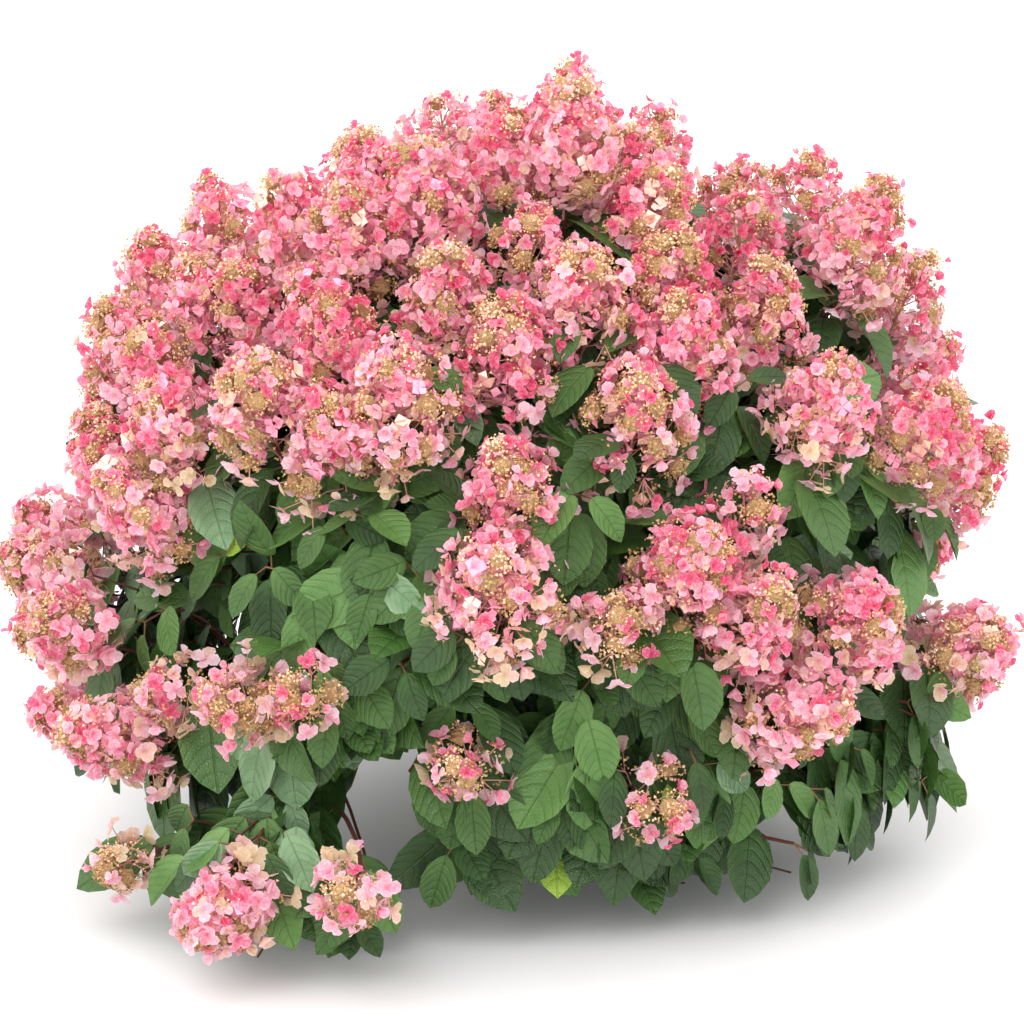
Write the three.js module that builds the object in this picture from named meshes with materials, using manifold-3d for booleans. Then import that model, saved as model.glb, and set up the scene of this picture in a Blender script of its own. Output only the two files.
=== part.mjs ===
// A panicle hydrangea in late summer, rooted in the ground: a low woody stump, six short
// stems, arching boughs, and masses of leafy shoots that end in cone-shaped flower heads.
// Millimetres, +Z up. The origin is the middle of the flat cut under the stump, and the
// front of the shrub looks along -Y.
import * as THREE from 'three';
import { mergeVertices } from 'three/addons/utils/BufferGeometryUtils.js';
import Module from 'manifold-3d';

const wasm = await Module();
wasm.setup();

// Driving dimensions: the wood
const STUMP = { height: 58, topRadius: 74, edge: 8, waistRadius: 80, waistHeight: 26, footRadius: 98 };
const ROOT_FLARE = { lobes: 7, depth: 0.12 };
const STEM = { ring: 46, footRadius: 17, tipRadius: 15, sides: 7, steps: 3, rise: 112, reach: 98 };
const STEM_RISES = [0.94, 1.12]; // the stems are short and tall by turns
const BOUGH = { footRadius: 6.5, tipRadius: 5.2, sides: 5, steps: 4 };
const TWIG = { sides: 3, steps: 2 };
const MASS_STEM = { footRadius: 3.8, tipRadius: 3.4, ...TWIG };
const SHOOT = { footRadius: 1.9, tipRadius: 1.7, ...TWIG };
const SHOOT_IN_HEAD = 28;
const JOINT_GAP = 0.3;

// Each end of a limb runs straight for this share of the limb's length before it bends
const STRAIGHT = { boughFoot: 0.32, boughTip: 0.34, massStem: 0.4, shootTip: 0.52 };

// Driving dimensions: the crown
const HEART_HEIGHT = 330; // the crown's shells are centred here, over the stump
const CROWN_ROUND = 520; // radius of the shell that the flower heads stand on
const UNDERSIDE = 0.45; // below the heart, growth turns down only by this share
const FORK_DEPTH = 265; // from the shell in to where a bough forks
const STEM_TIP_DEPTH = 150; // from the shell in to where a mass's stem ends among its shoots
const SHOOT_STARTS = [0.97, 0.4]; // along the mass's stem, for its middle and its outer shoots
const GROUND_CLEARANCE = 14;
const SPACE_MARGIN = 1.2; // left free on each side of the plane between two masses
const LIMB_CLEARANCE = 1.5;

// Driving dimensions: what grows on the shoots
const HEAD = { length: 165, width: 130, smallest: 0.74, largest: 1.08, sides: 6, rings: 4, bump: 0.12 };
const HEAD_WIDTHS = [1.1, 0.74]; // a head is widest near its foot and narrows to its tip
const LEAFY_RING = 118; // how far from the mass's middle its leafy shoots reach
const LEAFY_DEPTHS = { underHeads: 62, inTheOpen: 22 };
const GOLDEN_TURN = 2.4; // radians from each leafy shoot to the next
const LEAF = { length: 130, width: 82, thickness: 0.016, widest: 0.43, fold: 0.16, droop: 0.12 };
const LEAF_SIZES = [1.08, 0.72]; // at the first try to place a leaf, and at the last
const LEAF_TRIES = 12;
const LEAF_FACES = 22; // a leaf that would add more faces than this crosses something
const LEAVES_UNDER_HEAD = [0.78]; // places of the leaf pairs along a shoot
const LEAVES_ON_LEAFY_SHOOT = [0.42, 0.7, 0.98];
const PAIR_STAGGER = 0.04;
const DROOPY_BELOW = { from: 700, to: 200 }; // leaves hang fully at the lower height
const SEED = 20260;

// Each stem, which faces so many degrees round from the front, carries boughs, and each
// bough forks into two masses. A mass has a name, the way it faces, the height and reach
// of its middle, its number of flower heads, how far apart they stand, the turn of their
// ring in degrees, its number of leafy shoots, and maybe the size of its heads. If their
// ends are given a size too, they stand in a row instead, and one head alone stands that
// far from the mass's middle.
const mass = (name, facing, height, reach, heads, spacing, turn, leafy, { size = 1, rowEnds } = {}) => ({
  name, facing, height, reach, heads, spacing, turn, leafy, size, rowEnds,
});
const STEMS = [
  { name: 'front_left', facing: -46, boughs: [
    [
      mass('upper_left', -47, 703, 310, 4, 112, 40, 0),
      mass('left_front', -26, 590, 425, 4, 112, 10, 1),
    ],
    [
      mass('low_left', -33, 290, 515, 3, 108, 8, 3, { size: 0.85, rowEnds: 0.65 }),
      mass('leafy_left', -20, 402, 476, 0, 0, 0, 6),
    ],
    [
      mass('bottom_left', -30, 99, 588, 3, 167, 11, 3, { size: 1.15, rowEnds: 0.55 }),
      mass('out_left', -60, 250, 548, 3, 134, 90, 1),
    ],
  ] },
  { name: 'front', facing: 1, boughs: [
    [
      mass('top_left', -31, 802, 152, 4, 112, 20, 0),
      mass('centre_top', 0, 702, 330, 4, 104, -8, 1),
    ],
    [
      mass('centre', -1, 468, 480, 2, 108, 90, 4),
      mass('mid_right', 22, 434, 500, 3, 96, 30, 2, { rowEnds: 0.65 }),
    ],
    [
      mass('bottom_centre', 0, 206, 445, 1, 50, 150, 5, { size: 0.75 }),
      mass('bottom_right', 21, 184, 452, 1, 10, 200, 5),
    ],
  ] },
  { name: 'front_right', facing: 54, boughs: [
    [
      mass('top_front_right', 46, 705, 300, 4, 116, 20, 1),
      mass('right_centre', 23, 612, 412, 2, 108, 50, 4),
    ],
    [
      mass('right', 60, 530, 520, 3, 134, -36, 2, { rowEnds: 1 }),
      mass('low_right', 38, 326, 512, 3, 118, 30, 1),
    ],
    [
      mass('out_right', 69, 232, 540, 1, 45, 90, 5),
      mass('leafy_right', 50, 170, 490, 0, 0, 0, 6),
    ],
  ] },
  { name: 'back_right', facing: 112, boughs: [
    [
      mass('top_right', 50, 832, 150, 4, 112, 0, 0),
      mass('upper_right', 84, 712, 410, 4, 114, 0, 1),
    ],
    [
      mass('right_back', 100, 505, 485, 4, 118, -20, 1),
      mass('back_right_upper', 133, 676, 348, 5, 114, 10, 1),
    ],
    [
      mass('right_back_low', 114, 262, 510, 3, 128, 50, 1),
      mass('back_right_low', 146, 400, 492, 4, 122, 30, 1),
    ],
  ] },
  { name: 'back', facing: 172, boughs: [
    [
      mass('top_back', 182, 750, 215, 4, 114, 0, 1),
      mass('back_upper', 174, 590, 425, 4, 114, 30, 1),
    ],
    [
      mass('back_bottom', 158, 180, 470, 2, 130, 20, 3),
      mass('back_low', -170, 345, 505, 4, 124, 60, 1),
    ],
  ] },
  { name: 'back_left', facing: -108, boughs: [
    [
      mass('far_upper_left', -76, 652, 395, 4, 114, 10, 1),
      mass('back_left_upper', -138, 668, 362, 4, 114, 40, 1),
    ],
    [
      mass('left', -59, 514, 470, 4, 112, 30, 1),
      mass('left_back', -104, 470, 455, 4, 116, 0, 1),
    ],
    [
      mass('left_back_low', -92, 285, 548, 3, 120, 20, 1),
      mass('back_left_low', -140, 380, 498, 4, 122, 50, 1),
    ],
  ] },
];

// Colours, roughness and metalness
const paint = (color, roughness) => new THREE.MeshStandardMaterial({ color, roughness, metalness: 0 });
const PAINT = {
  stump: paint(0x6b5a4b, 0.95),
  stem: paint(0x75624f, 0.9),
  bough: paint(0x6a4a38, 0.8),
  blossom: paint(0xe88fa3, 0.7),
  foliage: paint(0x47743f, 0.6),
};

const UP = new THREE.Vector3(0, 0, 1);
const HEART = new THREE.Vector3(0, 0, HEART_HEIGHT);
const radians = THREE.MathUtils.degToRad;
const blend = THREE.MathUtils.lerp;
const clamp01 = (x) => THREE.MathUtils.clamp(x, 0, 1);

// The sum of vectors, each given with the number it is multiplied by
const sum = (...parts) => parts.reduce((total, [v, k]) => total.addScaledVector(v, k), new THREE.Vector3());

// A seeded random number from 0 to 1 at each call, the same on any machine
function randomFrom(seed) {
  let state = seed >>> 0;
  return () => {
    state = (Math.imul(state, 1664525) + 1013904223) >>> 0;
    return state / 4294967296;
  };
}

// Every order that a short list can be put in
const ordersOf = (list) => (list.length < 2 ? [list] : list.flatMap((first, i) => (
  ordersOf(list.filter((_, k) => k !== i)).map((others) => [first, ...others])
)));

// Two directions square to `axis`, the first of them level
function acrossAndAlong(axis) {
  const across = new THREE.Vector3().crossVectors(UP, axis).normalize();
  return [across, new THREE.Vector3().crossVectors(axis, across)];
}

// Solids and meshes

function solidOf(geometry) {
  geometry.deleteAttribute('normal');
  geometry.deleteAttribute('uv');
  const merged = mergeVertices(geometry, 1e-4);
  return new wasm.Manifold(new wasm.Mesh({
    numProp: 3,
    vertProperties: new Float32Array(merged.attributes.position.array),
    triVerts: new Uint32Array(merged.index.array),
  }));
}

// The largest body of a joined solid: loose scraps go, and sealed hollows are filled
function largestBody(solid) {
  return solid.decompose().reduce((best, body) => (body.volume() > best.volume() ? body : best));
}

function meshOf(name, solid, material) {
  const { numProp, vertProperties, triVerts } = solid.getMesh();
  const count = vertProperties.length / numProp;
  const positions = new Float32Array(count * 3);
  for (let i = 0; i < count; i++) {
    positions.set(vertProperties.subarray(i * numProp, i * numProp + 3), i * 3);
  }
  const geometry = new THREE.BufferGeometry();
  geometry.setAttribute('position', new THREE.BufferAttribute(positions, 3));
  geometry.setIndex(new THREE.BufferAttribute(new Uint32Array(triVerts), 1));
  geometry.computeVertexNormals();
  const mesh = new THREE.Mesh(geometry, material);
  mesh.name = name;
  return mesh;
}

// Moves each vertex of a geometry by `move`, which changes the vector it is given
function reshape(geometry, move) {
  const position = geometry.attributes.position;
  const v = new THREE.Vector3();
  for (let i = 0; i < position.count; i++) {
    move(v.fromBufferAttribute(position, i));
    position.setXYZ(i, v.x, v.y, v.z);
  }
  return geometry;
}

// A tapering limb: a cylinder one unit long, bent along a curve
function limbAlong(curve, { footRadius, tipRadius, sides, steps }) {
  const cylinder = new THREE.CylinderGeometry(tipRadius, footRadius, 1, sides, steps);
  const [level] = acrossAndAlong(curve.getPoint(1).sub(curve.getPoint(0)).normalize());
  return solidOf(reshape(cylinder, (v) => {
    const t = v.y + 0.5;
    const tangent = curve.getTangent(t);
    const over = new THREE.Vector3().crossVectors(tangent, level).normalize();
    const side = new THREE.Vector3().crossVectors(tangent, over);
    v.copy(sum([curve.getPoint(t), 1], [side, v.x], [over, v.z]));
  }));
}

// A point on the straight-sided limb that `steps` pieces make of a curve
function pointOnLimb(curve, { steps }, t) {
  const step = Math.min(Math.floor(t * steps), steps - 1);
  const from = curve.getPoint(step / steps);
  return from.lerp(curve.getPoint((step + 1) / steps), t * steps - step);
}

// The plan of the crown: spaces and forks

// The way out of the crown at a place on it, flatter than the true radius low down
function outwardAt(place) {
  const out = place.clone().sub(HEART);
  if (out.z < 0) out.z *= UNDERSIDE;
  return out.normalize();
}

const levelWay = (facing) => new THREE.Vector3(Math.sin(radians(facing)), -Math.cos(radians(facing)), 0);

const masses = STEMS.flatMap((stem) => stem.boughs.flat());
masses.forEach((m, index) => {
  m.index = index;
  m.middle = sum([levelWay(m.facing), m.reach], [UP, m.height]);
  m.outward = outwardAt(m.middle);
});

// How far a point lies inside a mass's own space: on the mass's side of the planes midway
// to every other mass, and above the ground
function roomAround(point, m) {
  let room = point.z - GROUND_CLEARANCE;
  for (const other of masses) {
    if (other === m) continue;
    const apart = other.middle.distanceTo(m.middle);
    const beyond = point.distanceToSquared(other.middle) - point.distanceToSquared(m.middle);
    room = Math.min(room, beyond / (2 * apart) - SPACE_MARGIN);
  }
  return room;
}

// A bough forks in the plane between its two masses, so that each stem stays on its side
function planFork([first, second]) {
  const between = second.middle.clone().sub(first.middle).normalize();
  const halfway = first.middle.clone().add(second.middle).multiplyScalar(0.5);
  const out = outwardAt(halfway);
  out.addScaledVector(between, -out.dot(between)).normalize();
  return { tip: sum([halfway, 1], [out, -FORK_DEPTH]), out, between };
}

// The stump, the stems and the boughs

function makeStump() {
  const flatRadius = STUMP.topRadius - STUMP.edge;
  const profile = [
    [0, 0], [STUMP.footRadius, 0], [STUMP.waistRadius, STUMP.waistHeight],
    [STUMP.topRadius, STUMP.height - STUMP.edge], [flatRadius, STUMP.height], [0, STUMP.height],
  ].map(([radius, height]) => new THREE.Vector2(radius, height));
  const lathe = new THREE.LatheGeometry(profile, 2 * ROOT_FLARE.lobes).rotateX(Math.PI / 2);
  return solidOf(reshape(lathe, (v) => {
    const low = 1 - v.z / STUMP.height;
    const lobe = 1 + ROOT_FLARE.depth * low * Math.cos(ROOT_FLARE.lobes * Math.atan2(v.y, v.x));
    v.x *= lobe;
    v.y *= lobe;
  }));
}

function stemCurve({ facing }, number) {
  const out = levelWay(facing);
  const rise = STEM.rise * STEM_RISES[number % STEM_RISES.length];
  const foot = sum([out, STEM.ring], [UP, STUMP.height + JOINT_GAP]);
  const tip = sum([out, STEM.reach], [UP, STUMP.height + rise]);
  return new THREE.QuadraticBezierCurve3(foot, sum([foot, 1], [UP, 0.5 * rise]), tip);
}

// A bough stands on its stem's flat tip, to one side of the tip's middle, and ends at its fork
function boughCurve(parent, turn, fork) {
  const [across, along] = acrossAndAlong(parent.direction);
  const offset = STEM.tipRadius - BOUGH.footRadius + JOINT_GAP;
  const foot = sum(
    [parent.tip, 1], [parent.direction, JOINT_GAP],
    [across, offset * Math.cos(turn)], [along, offset * Math.sin(turn)],
  );
  const far = foot.distanceTo(fork.tip);
  return new THREE.CubicBezierCurve3(
    foot, sum([foot, 1], [parent.direction, STRAIGHT.boughFoot * far]),
    sum([fork.tip, 1], [fork.out, -STRAIGHT.boughTip * far]), fork.tip,
  );
}

function areApart(curves) {
  const rows = curves.map((curve) => curve.getPoints(40));
  const least = 2 * BOUGH.footRadius + LIMB_CLEARANCE;
  return rows.every((row, i) => rows.slice(i + 1).every(
    (other) => row.every((p) => other.every((q) => p.distanceTo(q) > least)),
  ));
}

// A stem's boughs stand evenly round its tip, in the order and at the turn that make them
// shortest while they stay clear of each other
function boughCurves(parent, forks) {
  const turns = 12;
  let best = { length: Infinity, curves: null };
  for (const order of ordersOf(forks.map((_, k) => k))) {
    for (let start = 0; start < turns; start++) {
      const turnOf = (k) => 2 * Math.PI * (start / turns + order[k] / forks.length);
      const curves = forks.map((fork, k) => boughCurve(parent, turnOf(k), fork));
      const length = curves.reduce((total, curve) => total + curve.getLength(), 0);
      if (length < best.length && areApart(curves)) best = { length, curves };
    }
  }
  return best.curves;
}

// The two masses of a bough stand side by side on its tip, each on its own side of the fork
function massStemCurve(m, { tip, out, between }, side) {
  const offset = side * (MASS_STEM.footRadius + JOINT_GAP);
  const foot = sum([tip, 1], [out, JOINT_GAP], [between, offset]);
  const stemTip = sum([m.middle, 1], [m.outward, -STEM_TIP_DEPTH]);
  const straight = STRAIGHT.massStem * foot.distanceTo(stemTip);
  return new THREE.QuadraticBezierCurve3(foot, sum([foot, 1], [out, straight]), stemTip);
}

// The shoots of a mass

// How far out and which way round a head stands in its mass, and its share of full size
function placeInMass({ heads, spacing, size, rowEnds }, i) {
  if (heads === 1) return [spacing, 0, size];
  if (rowEnds) {
    const step = i - (heads - 1) / 2;
    return [step * spacing, 0, size * (step === 0 ? 1 : rowEnds)];
  }
  return [spacing / (2 * Math.sin(Math.PI / heads)), (2 * Math.PI * i) / heads, size];
}

// Where each shoot of a mass ends and which way it points there: a shoot that bears a head
// ends at the head's foot, and the leafy ones follow a spiral among them
function planShoots(m) {
  const random = randomFrom(SEED + 7919 * m.index);
  const jitter = (size) => (random() - 0.5) * 2 * size;
  const [across, along] = acrossAndAlong(m.outward);
  const spotAt = (ring, angle, depth) => sum(
    [m.middle, 1],
    [across, ring * Math.cos(angle)],
    [along, ring * Math.sin(angle)],
    [m.outward, -depth - (ring * ring) / (2 * CROWN_ROUND)],
  );
  const shoots = [];
  for (let i = 0; i < m.heads; i++) {
    const [ring, angle, share] = placeInMass(m, i);
    const spot = spotAt(ring + jitter(9), radians(m.turn) + angle + jitter(0.14), jitter(20));
    const size = share * blend(HEAD.smallest, HEAD.largest, random());
    const lift = blend(0.05, 0.85, clamp01((spot.z - 120) / 480)) + jitter(0.12);
    const axis = sum([outwardAt(spot), 1], [UP, lift], [across, jitter(0.2)]).normalize();
    shoots.push({ bearsHead: true, size, axis, end: sum([spot, 1], [axis, -0.5 * HEAD.length * size]) });
  }
  const depth = m.heads > 2 ? LEAFY_DEPTHS.underHeads : LEAFY_DEPTHS.inTheOpen;
  for (let i = 0; i < m.leafy; i++) {
    const ring = LEAFY_RING * Math.sqrt((i + 0.5) / m.leafy) + jitter(8);
    const angle = radians(m.turn + 45) + i * GOLDEN_TURN + jitter(0.2);
    const spot = spotAt(ring, angle, depth + jitter(12));
    const axis = sum([outwardAt(spot), 1], [UP, 0.25 + jitter(0.2)], [across, jitter(0.3)]).normalize();
    shoots.push({ bearsHead: false, size: 1, axis, end: spot });
  }
  return shoots;
}

// A shoot leaves the mass's stem and bends round to its own axis
function shootCurve(massStem, shoot, rank) {
  const start = pointOnLimb(massStem, MASS_STEM, blend(...SHOOT_STARTS, rank));
  const end = sum([shoot.end, 1], [shoot.axis, shoot.bearsHead ? SHOOT_IN_HEAD : 0]);
  const bend = sum([end, 1], [shoot.axis, -STRAIGHT.shootTip * end.distanceTo(start)]);
  return new THREE.QuadraticBezierCurve3(start, bend, end);
}

// A shoot without room is drawn in towards the mass's axis, and left out if that fails
function shootWithRoom(m, massStem, shoot, rank) {
  for (let tries = 0; tries < 6; tries++) {
    const curve = shootCurve(massStem, shoot, rank);
    const hasRoom = [0.5, 1].every((t) => roomAround(curve.getPoint(t), m) > MASS_STEM.footRadius);
    if (hasRoom) return curve;
    const level = shoot.end.clone().sub(m.middle).dot(m.outward);
    shoot.end.lerp(sum([m.middle, 1], [m.outward, level]), 0.2);
  }
  return null;
}

// Each shoot that has room, with its curve. Those that end furthest to the side leave the
// mass's stem lowest down.
function growShoots(m, massStem) {
  const shoots = planShoots(m);
  for (const shoot of shoots) {
    shoot.sideways = shoot.end.clone().sub(massStem.getPoint(1)).projectOnPlane(m.outward).length();
  }
  for (const shoot of shoots) {
    const rank = shoots.filter((other) => other.sideways < shoot.sideways).length / shoots.length;
    shoot.curve = shootWithRoom(m, massStem, shoot, rank);
    shoot.middle = sum([shoot.end, 1], [shoot.axis, 0.5 * HEAD.length * shoot.size]);
  }
  return shoots.filter((shoot) => shoot.curve);
}

// Flower heads and leaves

// A flower head is a bumpy cone of blossom with a blunt tip, dented where it meets the
// space of another mass
function makeHead({ size, axis, middle }, m, random) {
  const [across, along] = acrossAndAlong(axis);
  const halfLength = 0.5 * HEAD.length * size;
  const ball = new THREE.SphereGeometry(1, HEAD.sides, HEAD.rings);
  ball.deleteAttribute('normal');
  ball.deleteAttribute('uv');
  return reshape(mergeVertices(ball, 1e-4), (v) => {
    const bump = 1 + HEAD.bump * (2 * random() - 1);
    const radius = 0.5 * HEAD.width * size * blend(...HEAD_WIDTHS, (v.y + 1) / 2) * bump;
    v.copy(sum([middle, 1], [axis, v.y * halfLength], [across, v.x * radius], [along, -v.z * radius]));
    for (let tries = 0; tries < 40 && roomAround(v, m) < 0; tries++) v.lerp(middle, 0.06);
  });
}

// A leaf is a flattened octahedron: its foot, its tip, its two edges, and the middles of
// its faces. It folds up along its midrib, and its tip droops.
function makeLeaf(foot, direction, facing, size) {
  const length = LEAF.length * size;
  const halfWidth = 0.5 * LEAF.width * size;
  const side = new THREE.Vector3().crossVectors(direction, facing).normalize();
  const normal = new THREE.Vector3().crossVectors(side, direction);
  return reshape(new THREE.OctahedronGeometry(1, 0), (v) => {
    const share = v.y === 0 ? LEAF.widest : (v.y + 1) / 2;
    const sunk = v.y > 0 ? LEAF.droop * length : 0;
    const raised = 0.5 * LEAF.thickness * length * v.z + LEAF.fold * halfWidth * Math.abs(v.x);
    v.copy(sum([foot, 1], [direction, share * length], [side, v.x * halfWidth], [normal, raised - sunk]));
  });
}

// The way a leaf lies: low on the crown it hangs and faces out, at the top it lies flatter
function leafPose(place, sideways, random) {
  const out = outwardAt(place);
  const low = clamp01((DROOPY_BELOW.from - place.z) / (DROOPY_BELOW.from - DROOPY_BELOW.to));
  const droop = blend(0.25, 0.95, low) + 0.25 * (2 * random() - 1);
  const twist = 0.65 * (2 * random() - 1);
  return {
    direction: sum([sideways, 0.75], [out, 0.45], [UP, -droop]).normalize(),
    facing: sum([out, blend(0.45, 1, low)], [UP, blend(0.9, 0.45, low)], [sideways, twist]).normalize(),
  };
}

// The feet of a shoot's leaves: opposite pairs, each pair a quarter turn from the last
function leafFeet(shoot, number) {
  const pairs = shoot.bearsHead ? LEAVES_UNDER_HEAD : LEAVES_ON_LEAFY_SHOOT;
  return pairs.flatMap((t, pair) => [0, 1].map((k) => {
    const [across, along] = acrossAndAlong(shoot.curve.getTangent(t));
    return {
      foot: pointOnLimb(shoot.curve, SHOOT, t - PAIR_STAGGER * k),
      turn: Math.PI * (k + pair / 2) + 0.7 * number,
      across,
      along,
    };
  }));
}

const isInSpace = (leaf, foot, m) => {
  const corner = new THREE.Vector3();
  return Array.from({ length: leaf.attributes.position.count }, (_, i) => i).every((i) => {
    corner.fromBufferAttribute(leaf.attributes.position, i);
    return corner.distanceTo(foot) < 0.01 || roomAround(corner, m) > 0;
  });
};

// Joins a leaf to the mass, or leaves it out: each try turns it on and makes it smaller,
// until it keeps to the mass's space and crosses no head, limb, shoot or other leaf
function addLeaf(solid, { foot, turn, across, along }, m, heads, limbs, random) {
  for (let tries = 0; tries < LEAF_TRIES; tries++) {
    const angle = turn + 0.7 * tries + 0.3 * (2 * random() - 1);
    const sideways = sum([across, Math.cos(angle)], [along, Math.sin(angle)]);
    const { direction, facing } = leafPose(foot, sideways, random);
    const blade = sum([foot, 1], [direction, 0.6 * LEAF.length]);
    if (heads.some((head) => head.middle.distanceTo(blade) < 0.42 * HEAD.width * head.size)) continue;
    const leaf = makeLeaf(foot, direction, facing, blend(...LEAF_SIZES, tries / LEAF_TRIES));
    if (!isInSpace(leaf, foot, m)) continue;
    const leafSolid = solidOf(leaf);
    if (leafSolid.intersect(limbs).volume() > 0) continue;
    const joined = solid.add(leafSolid);
    if (joined.numTri() - solid.numTri() <= LEAF_FACES) return joined;
  }
  return solid;
}

// A mass of foliage: its stem, its shoots with their flower heads, then their leaves
function makeMass(m, massStem, limbs) {
  let solid = limbAlong(massStem, MASS_STEM);
  const shoots = growShoots(m, massStem);
  const heads = shoots.filter((shoot) => shoot.bearsHead);
  const random = randomFrom(SEED + 104729 * (m.index + 1));
  for (const shoot of shoots) solid = solid.add(limbAlong(shoot.curve, SHOOT));
  for (const head of heads) solid = solid.add(solidOf(makeHead(head, m, random)));
  for (const foot of shoots.flatMap(leafFeet)) {
    solid = addLeaf(solid, foot, m, heads, limbs, random);
  }
  return largestBody(solid);
}

// Assembly: each piece stands 0.3 mm clear of the one that carries it

const plant = new THREE.Group();
const wood = [];

function addWood(name, solid, material) {
  plant.add(meshOf(name, solid, material));
  wood.push(solid);
}

addWood('stump', makeStump(), PAINT.stump);

STEMS.forEach((stem, number) => {
  const curve = stemCurve(stem, number);
  addWood(`stem_${stem.name}`, limbAlong(curve, STEM), PAINT.stem);
  const parent = { tip: curve.getPoint(1), direction: curve.getTangent(1) };
  const forks = stem.boughs.map(planFork);
  boughCurves(parent, forks).forEach((bough, b) => {
    addWood(`bough_${stem.name}_${b + 1}`, limbAlong(bough, BOUGH), PAINT.bough);
    stem.boughs[b].forEach((m, k) => {
      m.stem = massStemCurve(m, forks[b], k === 0 ? -1 : 1);
    });
  });
});

// What a mass's leaves keep clear of: the wood, and every other mass's stem a little fattened
const FAT_STEM = {
  ...MASS_STEM,
  sides: 5,
  footRadius: MASS_STEM.footRadius + LIMB_CLEARANCE,
  tipRadius: MASS_STEM.tipRadius + LIMB_CLEARANCE,
};
const allWood = wood.reduce((total, limb) => total.add(limb));
const fatStems = masses.map((m) => limbAlong(m.stem, FAT_STEM));
for (const m of masses) {
  const limbs = fatStems.reduce((total, limb, i) => (i === m.index ? total : total.add(limb)), allWood);
  const solid = makeMass(m, m.stem, limbs);
  plant.add(meshOf(`mass_${m.name}`, solid, m.heads > 1 ? PAINT.blossom : PAINT.foliage));
}

export default plant;
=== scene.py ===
# %% [markdown]
# # A panicle hydrangea in late summer
#
# A shrub about 0.9 m high and 1.2 m across: a low stump in the ground, six short stems,
# arching boughs, and more than a hundred cone-shaped flower heads above broad leaves.
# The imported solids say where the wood, the heads and the outline of the crown are. This
# script grows the shrub again by the same rule and carries it on to what shows close up:
# bark, thin twigs, single leaves with their veins, and flowers of four sepals each.

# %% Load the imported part
import math
from itertools import combinations, permutations
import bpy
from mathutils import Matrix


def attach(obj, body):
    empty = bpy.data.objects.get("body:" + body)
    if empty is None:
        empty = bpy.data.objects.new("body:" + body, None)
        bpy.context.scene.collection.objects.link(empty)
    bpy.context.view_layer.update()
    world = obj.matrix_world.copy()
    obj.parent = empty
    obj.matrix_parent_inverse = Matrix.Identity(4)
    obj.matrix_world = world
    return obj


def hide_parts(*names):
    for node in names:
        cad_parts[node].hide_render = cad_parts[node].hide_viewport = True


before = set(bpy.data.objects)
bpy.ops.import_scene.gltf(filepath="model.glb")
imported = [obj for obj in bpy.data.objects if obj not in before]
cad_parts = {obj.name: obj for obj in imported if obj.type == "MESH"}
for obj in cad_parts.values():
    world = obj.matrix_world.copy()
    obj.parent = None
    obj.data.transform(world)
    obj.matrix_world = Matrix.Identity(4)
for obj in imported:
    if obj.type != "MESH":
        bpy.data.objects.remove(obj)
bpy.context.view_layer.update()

from types import SimpleNamespace

import bpy
import numpy as np

MASS_NODES = [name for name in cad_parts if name.startswith("mass_")]
print(len(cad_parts), "solids, of which masses of foliage:", len(MASS_NODES))

# %% [markdown]
# ## Camera, floor and light
#
# The photograph looks down on the shrub by about 15 degrees from a few metres away, so
# the camera has a long lens. It could aim at the middle of the shrub, but the shrub sits
# a little low in the photograph, and a small shift of the lens puts it there without
# tilting the view. The studio is plain: a pale floor, a bright even sky all round that
# leaves deep shade only inside the crown, and one wide soft sun from the upper left.

# %% Camera
AIM = (0.0, 0.0, 0.365)
CAMERA_AWAY = 3.6
CAMERA_ABOVE = math.radians(15)
SENSOR_WIDTH, LENS = 36, 107.25
LENS_SHIFT = (0.002, 0.0176)

camera = bpy.data.objects.new("Camera", bpy.data.cameras.new("Camera"))
camera.location = (
    AIM[0],
    AIM[1] - CAMERA_AWAY * math.cos(CAMERA_ABOVE),
    AIM[2] + CAMERA_AWAY * math.sin(CAMERA_ABOVE),
)
camera.rotation_euler = (math.pi / 2 - CAMERA_ABOVE, 0, 0)
camera.data.sensor_width, camera.data.lens = SENSOR_WIDTH, LENS
camera.data.shift_x, camera.data.shift_y = LENS_SHIFT
bpy.context.scene.collection.objects.link(camera)
bpy.context.scene.camera = camera
print("camera at", [round(x, 3) for x in camera.location])

# %% Floor, sky and sun
FLOOR_HALF = 15.0
FLOOR_COLOUR = (0.8, 0.8, 0.795, 1)
SKY_STRENGTH = 1.85
SUN_STRENGTH = 1.0
SUN_SPREAD = math.radians(40)
SUN_TILT = (math.radians(38), math.radians(-22), 0)

floor_mesh = bpy.data.meshes.new("floor")
corners = [(-1, -1, 0), (1, -1, 0), (1, 1, 0), (-1, 1, 0)]
floor_mesh.from_pydata([[FLOOR_HALF * c for c in corner] for corner in corners], [], [(0, 1, 2, 3)])
floor = bpy.data.objects.new("floor", floor_mesh)
bpy.context.scene.collection.objects.link(floor)
floor_paint = bpy.data.materials.new("pale floor")
floor_paint.use_nodes = True
floor_shader = floor_paint.node_tree.nodes["Principled BSDF"]
floor_shader.inputs["Base Color"].default_value = FLOOR_COLOUR
floor_shader.inputs["Roughness"].default_value = 0.9
floor_mesh.materials.append(floor_paint)

world = bpy.data.worlds.new("even sky")
world.use_nodes = True
background = world.node_tree.nodes["Background"]
background.inputs["Color"].default_value = (1, 1, 1, 1)
background.inputs["Strength"].default_value = SKY_STRENGTH
bpy.context.scene.world = world

sun = bpy.data.objects.new("soft sun", bpy.data.lights.new("soft sun", "SUN"))
sun.data.energy = SUN_STRENGTH
sun.data.angle = SUN_SPREAD
sun.rotation_euler = SUN_TILT
bpy.context.scene.collection.objects.link(sun)
bpy.context.scene.view_settings.view_transform = "Standard"
print("floor, sky and sun are set")

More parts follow.
